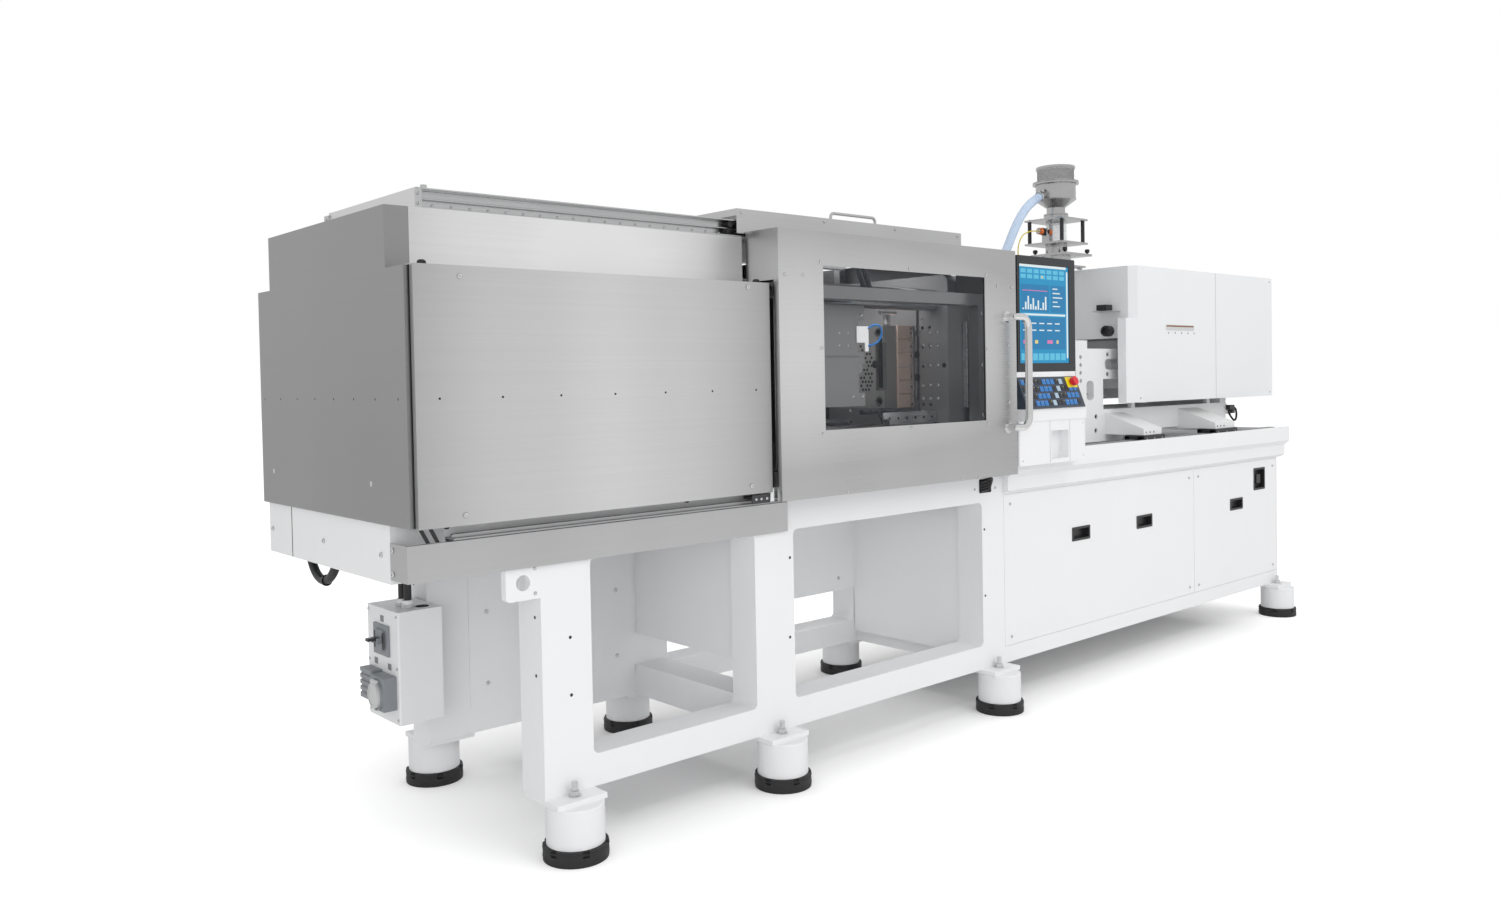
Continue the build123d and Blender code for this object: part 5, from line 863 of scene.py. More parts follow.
@dataclass
class Studio:
    """Floor, backdrop, lamps and camera."""

    floor_half: float = 40.0
    camera_place: Point = (-3.5277, -2.9319, 1.2197)
    camera_yaw: float = 41.606
    camera_pitch: float = -1.453
    camera_roll: float = -1.062
    lens: float = 27.305
    shift: float = -0.03256
    world_level: float = 0.74
    floor_tone: float = 0.86
    # The white lift seen by the eye is left out over the machine's footprint and grows out to a reach: a
    # painted shadow round the machine, on top of its real shadow.
    lift: float = 0.5
    painted_shadow_reach: float = 0.7
    painted_shadow_footprint: Span = (1.7, 0.3)
    lamps: tuple[tuple[str, Point, Point, float, float], ...] = (
        ("key", (0.5, -6.5, 5.5), (0.2, 0.0, 0.9), 4.5, 110.0),
        ("top", (0.5, -0.5, 5.5), (0.0, 0.0, 0.0), 6.0, 60.0),
        ("far", (5.5, -4.5, 3.0), (1.0, 0.0, 1.0), 3.0, 25.0),
        ("fill", (-5.8, -4.8, 1.2), (-1.2, 0.0, 0.5), 3.5, 95.0),
        ("inside", (-0.66, -0.16, 1.635), (-0.62, -0.10, 0.9), 0.6, 10.0),
    )

    def build(self) -> None:
        """Make everything that isn't part of the machine."""
        self._camera()
        self._floor()
        self._world()
        for lamp in self.lamps:
            self._hang(*lamp)
        bpy.context.scene.view_settings.view_transform = "Standard"

    def _camera(self) -> None:
        """Place the camera at the photograph's view."""
        data = bpy.data.cameras.new("camera")
        data.lens = self.lens
        data.sensor_width = 36.0
        data.sensor_fit = "HORIZONTAL"
        data.shift_y = self.shift
        data.clip_end = 200.0
        yaw, pitch, roll = (math.radians(a) for a in (self.camera_yaw, self.camera_pitch, self.camera_roll))
        forward = Vector((math.sin(yaw) * math.cos(pitch), math.cos(yaw) * math.cos(pitch), math.sin(pitch)))
        right = Vector((math.cos(yaw), -math.sin(yaw), 0.0))
        up = right.cross(forward)
        turned_right = right * math.cos(roll) + up * math.sin(roll)
        turned_up = up * math.cos(roll) - right * math.sin(roll)
        camera = bpy.data.objects.new("camera", data)
        bpy.context.scene.collection.objects.link(camera)
        turn = Matrix((turned_right, turned_up, -forward)).transposed().to_4x4()
        camera.matrix_world = Matrix.Translation(Vector(self.camera_place)) @ turn
        bpy.context.scene.camera = camera

    def _floor(self) -> None:
        """Pale floor that turns white away from the machine, with a painted shadow round the machine where
        its white lift is left out.
        """
        mesh = bpy.data.meshes.new("studio_floor")
        half = self.floor_half
        corners = [(-half, -half, 0), (half, -half, 0), (half, half, 0), (-half, half, 0)]
        mesh.from_pydata(corners, [], [(0, 1, 2, 3)])
        floor = bpy.data.objects.new("studio_floor", mesh)
        bpy.context.scene.collection.objects.link(floor)
        mesh.materials.append(bpy.data.materials.new("studio_floor"))
        shader = Shader(mesh.materials[0])
        low, high = (self.floor_tone,) * 3, (self.floor_tone + 0.01,) * 3
        matt = shader.node("BsdfDiffuse", {"Color": shader.blend(shader.noise((0.6,) * 3, 2), low, high)})
        # Painted shadow: no white lift over the footprint, full lift beyond the reach.
        outside = [(spot.size() - edge).within() for spot, edge in zip(shader.place(), self.painted_shadow_footprint)]
        away = (outside[0] * outside[0] + outside[1] * outside[1]) ** 0.5
        strength = shader.seen() * ((away / self.painted_shadow_reach).within() ** 0.7 * self.lift)
        lift = shader.node("Emission", {"Color": WHITE, "Strength": strength})
        both = shader.node("AddShader", {0: matt.outputs[0], 1: lift.outputs[0]})
        shader.node("OutputMaterial", {"Surface": both.outputs[0]})

    def _world(self) -> None:
        """White to the eye, softer as a light and in reflections."""
        world = bpy.data.worlds.new("studio")
        bpy.context.scene.world = world
        shader = Shader(world)
        backdrop = shader.node("Background", {"Color": WHITE})
        lit = shader.node("Background", {"Color": WHITE, "Strength": self.world_level})
        mix = shader.node("MixShader", {0: shader.seen(), 1: lit.outputs[0], 2: backdrop.outputs[0]})
        shader.node("OutputWorld", {"Surface": mix.outputs[0]})

    @staticmethod
    def _hang(name: str, place: Point, target: Point, size: float, power: float) -> None:
        """Hang one square lamp.

        Args:
            name: Name of the lamp.
            place: Where it hangs.
            target: Where it points.
            size: Side length in metres.
            power: Watts.
        """
        data = bpy.data.lights.new(name, "AREA")
        data.size = size
        data.energy = power
        lamp = bpy.data.objects.new(name, data)
        bpy.context.scene.collection.objects.link(lamp)
        lamp.visible_camera = False
        lamp.visible_glossy = False
        lamp.location = place
        lamp.rotation_mode = "QUATERNION"
        lamp.rotation_quaternion = (Vector(target) - Vector(place)).to_track_quat("-Z", "Y")


@dataclass
class CadDress:
    """Finishes of the solids that the frame brings."""

    edge: float = 1.2
    sharp: tuple[str, ...] = ("front_window", "rear_window", "sight_glass", "base_hoses", "sensor_cable",
                              "skirt_panels")
    pierced: tuple[str, ...] = ("injection_frame", "clamp_frame", "apron", "carriage", "ejector",
                                "moving_mould", "panel_pulls", "fixed_platen", "moving_platen", "rear_platen",
                                "clamp_drive")

    def build(self) -> None:
        """Give every CAD node its finish, and softened edges to all but the sharp ones."""
        for name, finish in CAD_FINISHES.items():
            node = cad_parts[name]
            node.data.materials.clear()
            node.data.materials.append(finish.material())
            if name not in self.sharp:
                soften(node, self.edge, clean=name not in self.pierced)
            LOG.info("%s wears %s", name, finish.name)


@dataclass
class EndPanelTrim:
    """Dark dots, screws and seals of the panel that closes the clamp end."""

    dot_row: Span = (-438, 448)
    dot_height: float = 1186
    screws: tuple[Span, ...] = ((391, 981), (-275, 982))
    seals: Span = (-478, 474)
    proud: float = 0.1

    def build(self) -> None:
        """Make the pieces of the end panel."""
        # The row of black discs stands in for small holes: painted shade.
        row = [(0, y, self.dot_height) for y in spread(*self.dot_row, 8)]
        dots("end_panel_dots", row, LEFT, 3.2, self.proud, BLACK_PLASTIC)
        seats = [(0, y, z) for y, z in self.screws]
        dots("end_panel_screws", seats, LEFT, 7, self.proud, SCREW_STEEL, steps=20)
        rim = Workpiece("end_panel_seal")
        for y in self.seals:
            rim.block((40, 58), (y, y + 4), (892, 1488))
        rim.finish(BLACK_RUBBER, 0.8)


@dataclass
class HoodTrim:
    """Screws, plugs, buffers and edge seals of the two fixed covers."""

    face: float = 503
    top: float = 1495
    bottom: float = 888
    screws: tuple[Span, ...] = ((129, 1470), (1025, 1480), (130, 912), (1026, 912))
    dot_row: Span = (71, 1049)
    dot_height: float = 1186
    buffer: Profile = ((0, 9), (2, 11), (8, 10), (11, 6))
    buffer_x: Span = (46, 1078)
    knob: Profile = ((0, 6), (5, 7), (8, 4))
    knob_x: Span = (95, 811)
    buffer_in: float = 24
    knob_in: float = 30
    seal_y: Span = (470, 496)
    catches: tuple[float, ...] = (930, 1010, 1190, 1330, 1450)

    def build(self) -> None:
        """Make the pieces of both covers."""
        for side, name, out in SIDES:
            y = side * self.face
            screws(f"hood_screws_{name}", [(x, y, z) for x, z in self.screws], out, 7.5)
            row = [(x, y, self.dot_height) for x in spread(*self.dot_row, 7)]
            dots(f"hood_dots_{name}", row, out, 3, 0.5, BLACK_PLASTIC)
            knobs = Workpiece(f"hood_buffers_{name}")
            for x in self.buffer_x:
                knobs.lathe(self.buffer, (x, y - side * self.buffer_in, self.top), UP)
            for x in self.knob_x:
                knobs.lathe(self.knob, (x, y - side * self.knob_in, self.bottom), DOWN)
            knobs.finish(BLACK_RUBBER)
            low, high = sorted(side * edge for edge in self.seal_y)
            seal = Workpiece(f"hood_seal_{name}").block((1107, 1113), (low, high), (900, 1486))
            for z in self.catches:
                seal.block((1106, 1118), (low + 6, high - 6), (z, z + 22))
            seal.finish(BLACK_RUBBER, 1.0)


@dataclass
class DoorTrim:
    """Screws, window strips, bottom rivets and handle screws of the two sliding doors."""

    face: float = 528
    window_x: Span = (1305, 2097)
    window_z: Span = (1059, 1553)
    screw_out: float = 10
    skin_screws: tuple[Span, ...] = ((1148, 1520), (1222, 1521), (2171, 1527), (2256, 1526), (2234, 1320),
                                     (2232, 1119))
    rivet_x: tuple[float, ...] = (1397, 1487, 1960, 2050)
    rivet_z: float = 866
    strip_depth: Span = (6.2, 9.2)
    strip_edge: Span = (1, 8)
    handle_x: Span = (2203, 2235)
    handle_z: Span = (1029, 1418)
    handle_foot: float = 5

    def build(self) -> None:
        """Make the pieces of both doors."""
        x0, x1 = self.window_x[0] - self.screw_out, self.window_x[1] + self.screw_out
        z0, z1 = self.window_z[0] - self.screw_out, self.window_z[1] + self.screw_out
        x_mid, z_mid = sum(self.window_x) / 2, sum(self.window_z) / 2
        ring = [(x0, z1), (x_mid, z1), (x1, z1), (x0, z_mid), (x1, z_mid), (x0, z0), (x_mid, z0), (x1, z0)]
        for (side, name, out), body in zip(SIDES, (Body.FRONT_DOOR, Body.REAR_DOOR)):
            y = side * self.face
            screws(f"door_screws_{name}", [(x, y, z) for x, z in (*ring, *self.skin_screws)], out, 6, body)
            rivets = [(x, y, self.rivet_z) for x in self.rivet_x]
            dots(f"door_rivets_{name}", rivets, out, 4, 1.2, SCREW_STEEL, body)
            self._strip(f"window_strip_{name}", sorted(y - side * deep for deep in self.strip_depth), body)
            bolts = [(x, y + side * self.handle_foot, z) for z in self.handle_z for x in self.handle_x]
            screws(f"handle_screws_{name}", bolts, out, 3, body)

    def _strip(self, name: str, span: Sequence[float], body: Body) -> None:
        """Make the dark strip round a window, behind the door's skin.

        Args:
            name: Name of the piece.
            span: Low and high value across the machine.
            body: The door.
        """
        (x0, x1), (z0, z1), (near, far) = self.window_x, self.window_z, self.strip_edge
        strip = Workpiece(name)
        for x in ((x0 - far, x0 - near), (x1 + near, x1 + far)):
            strip.block(x, span, (z0 - far, z1 + far))
        for z in ((z0 - far, z0 - near), (z1 + near, z1 + far)):
            strip.block((x0 - near, x1 + near), span, z)
        strip.finish(BLACK_RUBBER, body=body)


@dataclass
class GateTrim:
    """Screw rows, end plates and stops of the gate's rails, and small heads on the gate and the roof box."""

    rails: tuple[Span, ...] = ((-349, -379), (185, 215))
    screw_row: Span = (140, 1050)
    stop: Profile = ((0, 9), (2, 11), (22, 11), (25, 8))
    gate_screws: tuple[float, ...] = (1110, 1460, 1800, 2135)
    box_rivets: tuple[float, ...] = (330, 590, 850)

    def build(self) -> None:
        """Make the pieces of both rails and the gate."""
        for (_, name, out), (web, lip) in zip(SIDES, self.rails):
            screws(f"rail_screws_{name}", [(x, web, 1652) for x in spread(*self.screw_row, 19)], out, 4.2)
            low, high = sorted((web, lip))
            Workpiece(f"rail_end_{name}").block((95, 100), (low, high), (1641, 1690)).finish(ALUMINIUM, 0.8)
            screws(f"rail_end_bolts_{name}", [(95, (web + lip) / 2, z) for z in (1654, 1678)], LEFT, 5)
            roll = Workpiece(f"rail_stop_{name}").lathe(self.stop, (1076, web, 1677), out)
            roll.block((1058, 1068), (low + 2, high - 4), (1645.5, 1663)).finish(BLACK_RUBBER)
        screws("gate_screws", [(x, -385, 1712) for x in self.gate_screws], FRONT, 5, Body.TOP_GATE)
        dots("roof_box_rivets", [(x, -345, 1686) for x in self.box_rivets], FRONT, 3, 0.8, SCREW_STEEL)


@dataclass
class ApronTrim:
    """Screws, slanted edge strips and the guide pieces round the brushed strip."""

    left: float = 9
    strip_x: Span = (22, 46)
    strip_wide: float = 11
    strip_drift: float = 35
    strip_top: Span = (-478, 886)
    strip_foot: Span = (-443, 846.5)
    strip_lift: Point = (0, 4, 3)
    guide: Span = (1030, 1100)
    hook: Profile = ((1100, 860), (1116, 860), (1116, 898), (1104, 898))

    def build(self) -> None:
        """Make the pieces along the clamp's lower edge."""
        screws("apron_screws", [(self.left, -366, z) for z in (829, 772)], LEFT, 7)
        strips = Workpiece("slanted_strips")
        for x in self.strip_x:
            foot = x + self.strip_drift
            corners = [(x, *self.strip_top), (x + self.strip_wide, *self.strip_top),
                       (foot + self.strip_wide, *self.strip_foot), (foot, *self.strip_foot)]
            strips.slab(corners, self.strip_lift)
        strips.finish(BLACK_RUBBER, 0.8)
        # The near-black slot is painted shade of a recess.
        slot = rounded((958, 1034), (847.5, 851.5), 2)
        Workpiece("rail_slot").prism(slot, Axis.Y, (-444.5, -440)).finish(HOLE_SHADE_AND_SEAM)
        plate = Workpiece("door_guide_plate").block(self.guide, (-496, -460), (872, 880))
        plate.block(self.guide, (-500, -496), (858, 884)).finish(DARK_STEEL, 1.0)
        screws("door_guide_screws", [(x, -500, 871) for x in (1044, 1064, 1086)], FRONT, 4.5)
        Workpiece("door_guide_bracket").prism(self.hook, Axis.Y, (-500, -486)).finish(WARM_WHITE, 0.8)


@dataclass
class BaseTrim:
    """Small plugs, screws, seams and the cable opening of the two bases."""

    front: float = -432
    rear: float = 322
    inner: float = 209
    leg_side: float = 367
    beam: float = 10
    leg_plugs: tuple[Span, ...] = ((1238, 673), (1233, 431), (2205, 660), (2206, 420), (452, 560), (452, 410))
    side_plugs: tuple[Span, ...] = ((-402, 620), (-402, 470), (296, 620), (296, 560))
    pad_x: tuple[float, ...] = (442, 1174, 2255, 4548)
    pad_y: Span = (-453, 343)
    pad_ribs: Span = (9, 30)
    pad_rib: Profile = ((0, 84.6), (1, 85.8), (3, 85.8), (4, 84.6))
    lever_x: Span = (4382, 4424)
    lever_out: Span = (3, 16)
    lever_z: Span = (662, 706)

    def build(self) -> None:
        """Make the pieces of the bases."""
        dots("leg_plugs", [(x, self.front, z) for x, z in self.leg_plugs], FRONT, 4.5, 0.6, BLACK_PLASTIC)
        sides = [(self.leg_side, y, z) for y, z in self.side_plugs]
        dots("leg_side_plugs", sides, LEFT, 4.5, 0.6, BLACK_PLASTIC)
        seats = [(x, self.inner, z) for x in (560, 1040) for z in (300, 520, 730)]
        seats += [(x, self.inner, z) for x in (1300, 1740, 2110) for z in (420, 740)]
        screws("bay_panel_screws", seats, FRONT, 7)
        screws("lug_screws", [(352, self.front, z) for z in (751, 688)], FRONT, 5)
        screws("end_beam_screws", [(self.beam, y, 812) for y in (-300, 60, 440)], LEFT, 7)
        seam = Workpiece("end_beam_seam").block((self.beam - 0.6, self.beam), (287, 290), (746, 888))
        seam.finish(HOLE_SHADE_AND_SEAM)
        self._cable_opening()
        self._skirt()
        ribs = Workpiece("pad_ribs")
        for spot in [(x, y, z) for x in self.pad_x for y in self.pad_y for z in self.pad_ribs]:
            ribs.lathe(self.pad_rib, spot, UP, 48, False)
        ribs.finish(BLACK_RUBBER)

    def _cable_opening(self) -> None:
        """Opening with cables at the right end of the clamp's beam; its near-black plate is painted shade."""
        y = self.front
        opening = rounded((2178, 2248), (792, 842), 4)
        Workpiece("cable_opening").prism(opening, Axis.Y, (y - 0.7, y)).finish(HOLE_SHADE_AND_SEAM)
        cables = Workpiece("opening_cables")
        for step in range(4):
            low = 800 + 10 * step
            cables.tube([(2180, y - 2, low), (2205, y - 9, low + 1), (2224, y - 13, low + 9 + step * 2),
                         (2246, y - 6, 838 + step)], 4.6)
        cables.finish(BLACK_HOSE)
        screws("opening_screws", [(2152, y, 807), (2272, y, 805)], FRONT, 5)

    def _skirt(self) -> None:
        """Screws and latch levers of the injection base's panels, both sides."""
        for (side, name, out), y in zip(SIDES, (self.front, self.rear)):
            seats = [(x, y, z) for x in (2362, 3706, 3790, 4548) for z in (246, 738)]
            screws(f"skirt_screws_{name}", seats, out, 6)
            levers = Workpiece(f"latch_levers_{name}")
            levers.block(self.lever_x, sorted(y - side * deep for deep in self.lever_out), self.lever_z)
            levers.finish(BLACK_PLASTIC, 2.0)


@dataclass
class PowerBoxTrim:
    """Labels, screws, cable hole and socket details of the electrical box."""

    face: float = 224
    breaker: float = 212
    labels: tuple[Span, ...] = ((200, 552), (246, 424), (156, 420))
    label_half: Span = (11, 9)
    film: float = 0.6
    socket: Span = (155, 348)
    collar: Profile = ((0, 15), (0, 20), (8, 20), (9, 18), (9, 16))

    def build(self) -> None:
        """Make the pieces of the box."""
        screws("box_screws", [(self.face, y, z) for y in (106, 292) for z in (276, 422, 568)], LEFT, 4.5)
        labels = Workpiece("box_labels")
        wide, tall = self.label_half
        for y, z in self.labels:
            labels.block((self.face - self.film, self.face), (y - wide, y + wide), (z - tall, z + tall))
        labels.finish(LABEL_GREY)
        bars = Workpiece("breaker_marks")
        for y in (168, 222):
            bars.block((self.breaker - self.film, self.breaker), (y, y + 10), (468, 516))
        bars.finish(BLACK_PLASTIC)
        # The near-black disc is painted shade of the cable hole.
        dots("box_cable_hole", [(318, 140, 582)], UP, 20, 0.8, HOLE_SHADE_AND_SEAM, steps=28)
        collars = Workpiece("gland_collars")
        for y in (150, 186):
            collars.lathe(self.collar, (280, y, 583), UP, 8)
        collars.finish(LIGHT_PLASTIC, 0.8)
        Workpiece("socket_bead").ring((184, *self.socket), LEFT, 43, 37.5, 6).finish(SOCKET_GREY, 0.8)
        bead = Workpiece("lid_bead").ring((172, *self.socket), LEFT, 34, 29, 1.6)
        bead.finish(LIGHT_PLASTIC, 0.5, Body.SOCKET_LID)
        Workpiece("loop_tie").ring((42, 128, 694), REAR, 15.5, 11.6, 7).finish(BLACK_PLASTIC)


@dataclass
class MouldAreaTrim:
    """Bolts, holes, hoses and small steel parts seen through the window."""

    platen_face: float = 2110
    mould_face: float = 1960
    moving_face: float = 1610
    film: float = 0.1
    screw_columns: tuple[float, ...] = (-272, -306)
    column_z: tuple[float, ...] = (1376, 1327, 1255, 1183, 1135)
    inner_column: float = -238
    inner_z: tuple[float, ...] = (1421, 1330, 1181, 1134, 1087)
    guides: tuple[Span, ...] = ((-155, 1376), (-155, 1128), (45, 1376), (45, 1128))
    vent_rows: int = 12
    vent_columns: int = 4
    vent_corner: Span = (-122, 1170)
    vent_pitch: Span = (15, 14.5)
    vent_clear: float = 30
    plate_screws: tuple[Span, ...] = ((2045, 1314), (2045, 1259), (2045, 1243), (2044, 1191), (2043, 1143),
                                      (2079, 1120), (2079, 1366), (2045, 1372))
    bracket: Profile = ((1628, 1331), (1628, 1385), (1684, 1385), (1684, 1302), (1667, 1302), (1667, 1331))
    nipple: Profile = ((0, 8), (6, 8), (7, 6), (18, 6), (19, 8), (24, 7))
    pipe: Profile = ((0, 5), (0, 9), (82, 9), (82, 5))
    air_loop: tuple[Point, ...] = (
        (1681, -359.5, 1378), (1700, -360, 1388), (1728, -360.5, 1392), (1747, -361, 1382),
        (1751, -361, 1362), (1738, -360.5, 1338), (1712, -360, 1325), (1681, -359.5, 1320),
    )

    def build(self) -> None:
        """Make the pieces round the mould."""
        self._platen()
        self._sheets()
        self._mould()
        self._cover()
        self._services()

    def _platen(self) -> None:
        """Bright screws on the fixed platen and bolts of the post."""
        spots = [(self.platen_face, y, z) for y in self.screw_columns for z in self.column_z]
        spots += [(self.platen_face, self.inner_column, z) for z in self.inner_z]
        spots += [(x, 2 * AXIS_Y - y, z) for x, y, z in spots]
        screws("platen_screws", spots, LEFT, 7)
        # Near-black discs for two holes are painted shade.
        dots("platen_dark_holes", [(self.platen_face, y, 1254) for y in (-336, 226)], LEFT, 9, 0.6, HOLE_SHADE_AND_SEAM)
        for side, name, out in SIDES:
            screws(f"post_bolts_{name}", [(2136, side * 485, z) for z in (1434, 1252, 1076)], out, 8)

    def _sheets(self) -> None:
        """Duct with its hoses, shield and splash sheet at the fixed platen."""
        tall = (1100, 1412)
        duct = Workpiece("side_duct").block((2196, 2262), (-358, -355), tall)
        for x in ((2196, 2201), (2257, 2262)):
            duct.block(x, (-372, -358), tall)
        duct.finish(ALUMINIUM, 0.8)
        hoses = Workpiece("duct_hoses")
        for x in (2212, 2228, 2244):
            hoses.tube([(x, -366, 1409), (x + 1, -366.5, 1250), (x, -366, 1120), (x + 4, -368, 1070),
                        (x + 16, -366, 1000), (x + 18, -366, 900)], 7)
        hoses.finish(BLACK_HOSE)
        # Near-black discs for the slot's eyes are painted shade.
        eyes = [(self.platen_face, -211, z) for z in (1295, 1212)]
        dots("slot_eyes", eyes, LEFT, 13, 0.5, HOLE_SHADE_AND_SEAM, steps=24)
        shield = Workpiece("upper_shield").block((2158, 2161), (-352, 242), (1579, 1647))
        for y in ((-484, -356), (246, 410)):
            shield.block((2158, 2161), y, (1500, 1647))
        shield.finish(COVER_SHEET, 0.6)
        splash = Workpiece("splash_sheet").block((1480, 2262), (262, 264), (880, 1120))
        splash.block((1480, 2262), (246, 262), (880, 882)).finish(COVER_SHEET, 0.6)
        screws("platen_side_bolts", [(2240, -355, z) for z in (1000, 1480)], FRONT, 9)

    def _mould(self) -> None:
        """Holes, bushes and screws of the mould and the brown plate."""
        face, film = self.mould_face, self.film
        # Vent holes, the middle hole and the slot are near-black discs and a plate: painted shade.
        dark = Workpiece("vent_holes").discs(self._vents(), LEFT, 5.2, film, 12)
        dark.discs([(face, -138, 1262)], LEFT, 14, film, 28)
        dark.block((face - film, face), (-176, -156), (1176, 1356)).finish(HOLE_SHADE_AND_SEAM)
        bush = Workpiece("guide_bushes")
        for spot in self.guides:
            bush.ring((face, *spot), LEFT, 18, 12.6, film)
        bush.ring((face, AXIS_Y, AXIS_Z), LEFT, 24, 5, film, 36).finish(GROUND)
        screws("brown_plate_screws", [(x, -188, z) for x, z in self.plate_screws], FRONT, 3.4)
        seams = Workpiece("brown_plate_seams")
        for z in (1315, 1252, 1186):
            seams.block((2031, 2098), (-188.3, -188), (z - 0.9, z + 0.9))
        seams.finish(LABEL_GREY)
        Workpiece("clamp_strip").block((2096.6, 2098), (-202, -188.5), (1104, 1400)).finish(ALUMINIUM, 0.4)
        # Near-black discs for the plate's holes are painted shade.
        holes = [(2096.6, -195, z) for z in (1392, 1375, 1326, 1290, 1214, 1178, 1113)]
        dots("clamp_plate_holes", holes, LEFT, 3.2, 0.3, HOLE_SHADE_AND_SEAM)
        bolts = [(1470, -202, z) for z in (1130, 1180, 1324, 1374)]
        screws("moving_plate_bolts", bolts, FRONT, 4, Body.MOVING_PLATEN)
        rings = Workpiece("leader_rings")
        for spot in self.guides:
            rings.ring((self.moving_face, *spot), RIGHT, 18, 12.2, film)
        rings.finish(GROUND, body=Body.MOVING_PLATEN)

    def _vents(self) -> list[Point]:
        """Holes in a staggered pattern on both sides of the mould's middle."""
        holes = []
        (corner_y, corner_z), (pitch_y, pitch_z) = self.vent_corner, self.vent_pitch
        for row in range(self.vent_rows):
            z = corner_z + pitch_z * row
            for column in range(self.vent_columns):
                y = corner_y + pitch_y * (column + row % 2 / 2)
                for turned in (y, 2 * AXIS_Y - y):
                    near = math.hypot(turned - AXIS_Y, z - AXIS_Z)
                    if near > self.vent_clear and (row * 3 + column) % 5:
                        holes.append((self.mould_face, turned, z))
        return holes

    def _cover(self) -> None:
        """Rivets, screws and the white bracket of the platen's cover sheet."""
        y = -357
        rivets = [(x, y, z) for x in (1548, 1589) for z in (1321, 1362)]
        dots("cover_dots", rivets, FRONT, 2.6, 0.8, SCREW_STEEL, Body.MOVING_PLATEN)
        seats = [(1608, y, 1153), (1654, y, 1153), (1654, y, 1422)]
        screws("cover_screws", seats, FRONT, 5.5, Body.MOVING_PLATEN)
        bracket = Workpiece("white_bracket").prism(self.bracket, Axis.Y, (y - 4, y - 0.5))
        bracket.block((1628, 1637), (y - 0.5, y), (1335, 1381)).finish(WARM_WHITE, 0.8, Body.MOVING_PLATEN)

    def _services(self) -> None:
        """Manifold, tray, tube and hoses round the mould."""
        bar = Workpiece("manifold").block((1822, 2012), (-206, -186), (1083, 1100))
        bar.block((1966, 2006), (-186, -150), (1086, 1102))
        for x in (1830, 1866, 1894, 1946, 1978):
            bar.lathe(self.nipple, (x, -206, 1092), FRONT, 6)
        bar.finish(BLACK_PLASTIC, 0.8)
        leads = Workpiece("manifold_hoses")
        for x, reach in ((1866, 26), (1946, -22), (1978, -34)):
            leads.tube([(x, -228, 1092), (x, -238, 1088), (x + reach * 0.4, -244, 1060),
                        *((x + reach, -246, z) for z in (1010, 900, 870))], 3.6)
        leads.finish(BLACK_HOSE)
        tray = Workpiece("tray").block((1818, 2110), (-302, -299), (1040, 1092))
        tray.block((1818, 2110), (-330, -302), (1040, 1043))
        tray.block((1818, 1821), (-330, -302), (1040, 1070)).finish(ALUMINIUM, 0.8)
        # Near-black discs for the tray's holes are painted shade.
        dots("tray_holes", [(x, -302, 1070) for x in spread(1850, 2080, 6)], FRONT, 5, 0.4, HOLE_SHADE_AND_SEAM)
        tube = Workpiece("eye_tube").lathe(self.pipe, (1966, -160, 1448), (1, 0, 0.03))
        tube.block((1990, 2016), (-166, -154), (1402, 1441)).finish(SCREW_STEEL)
        Workpiece("air_loop").tube(self.air_loop, 3.4).finish(AIR_BLUE, body=Body.MOVING_PLATEN)
        hoses = Workpiece("header_hoses")
        for x in (1596, 1624):
            hoses.tube([(x - 60, -366, 1641), (x - 40, -384, 1632), (x, -392, 1590), (x + 18, -398, 1530),
                        (x + 20, -412, 1492)], 9)
        hoses.finish(BLACK_HOSE)


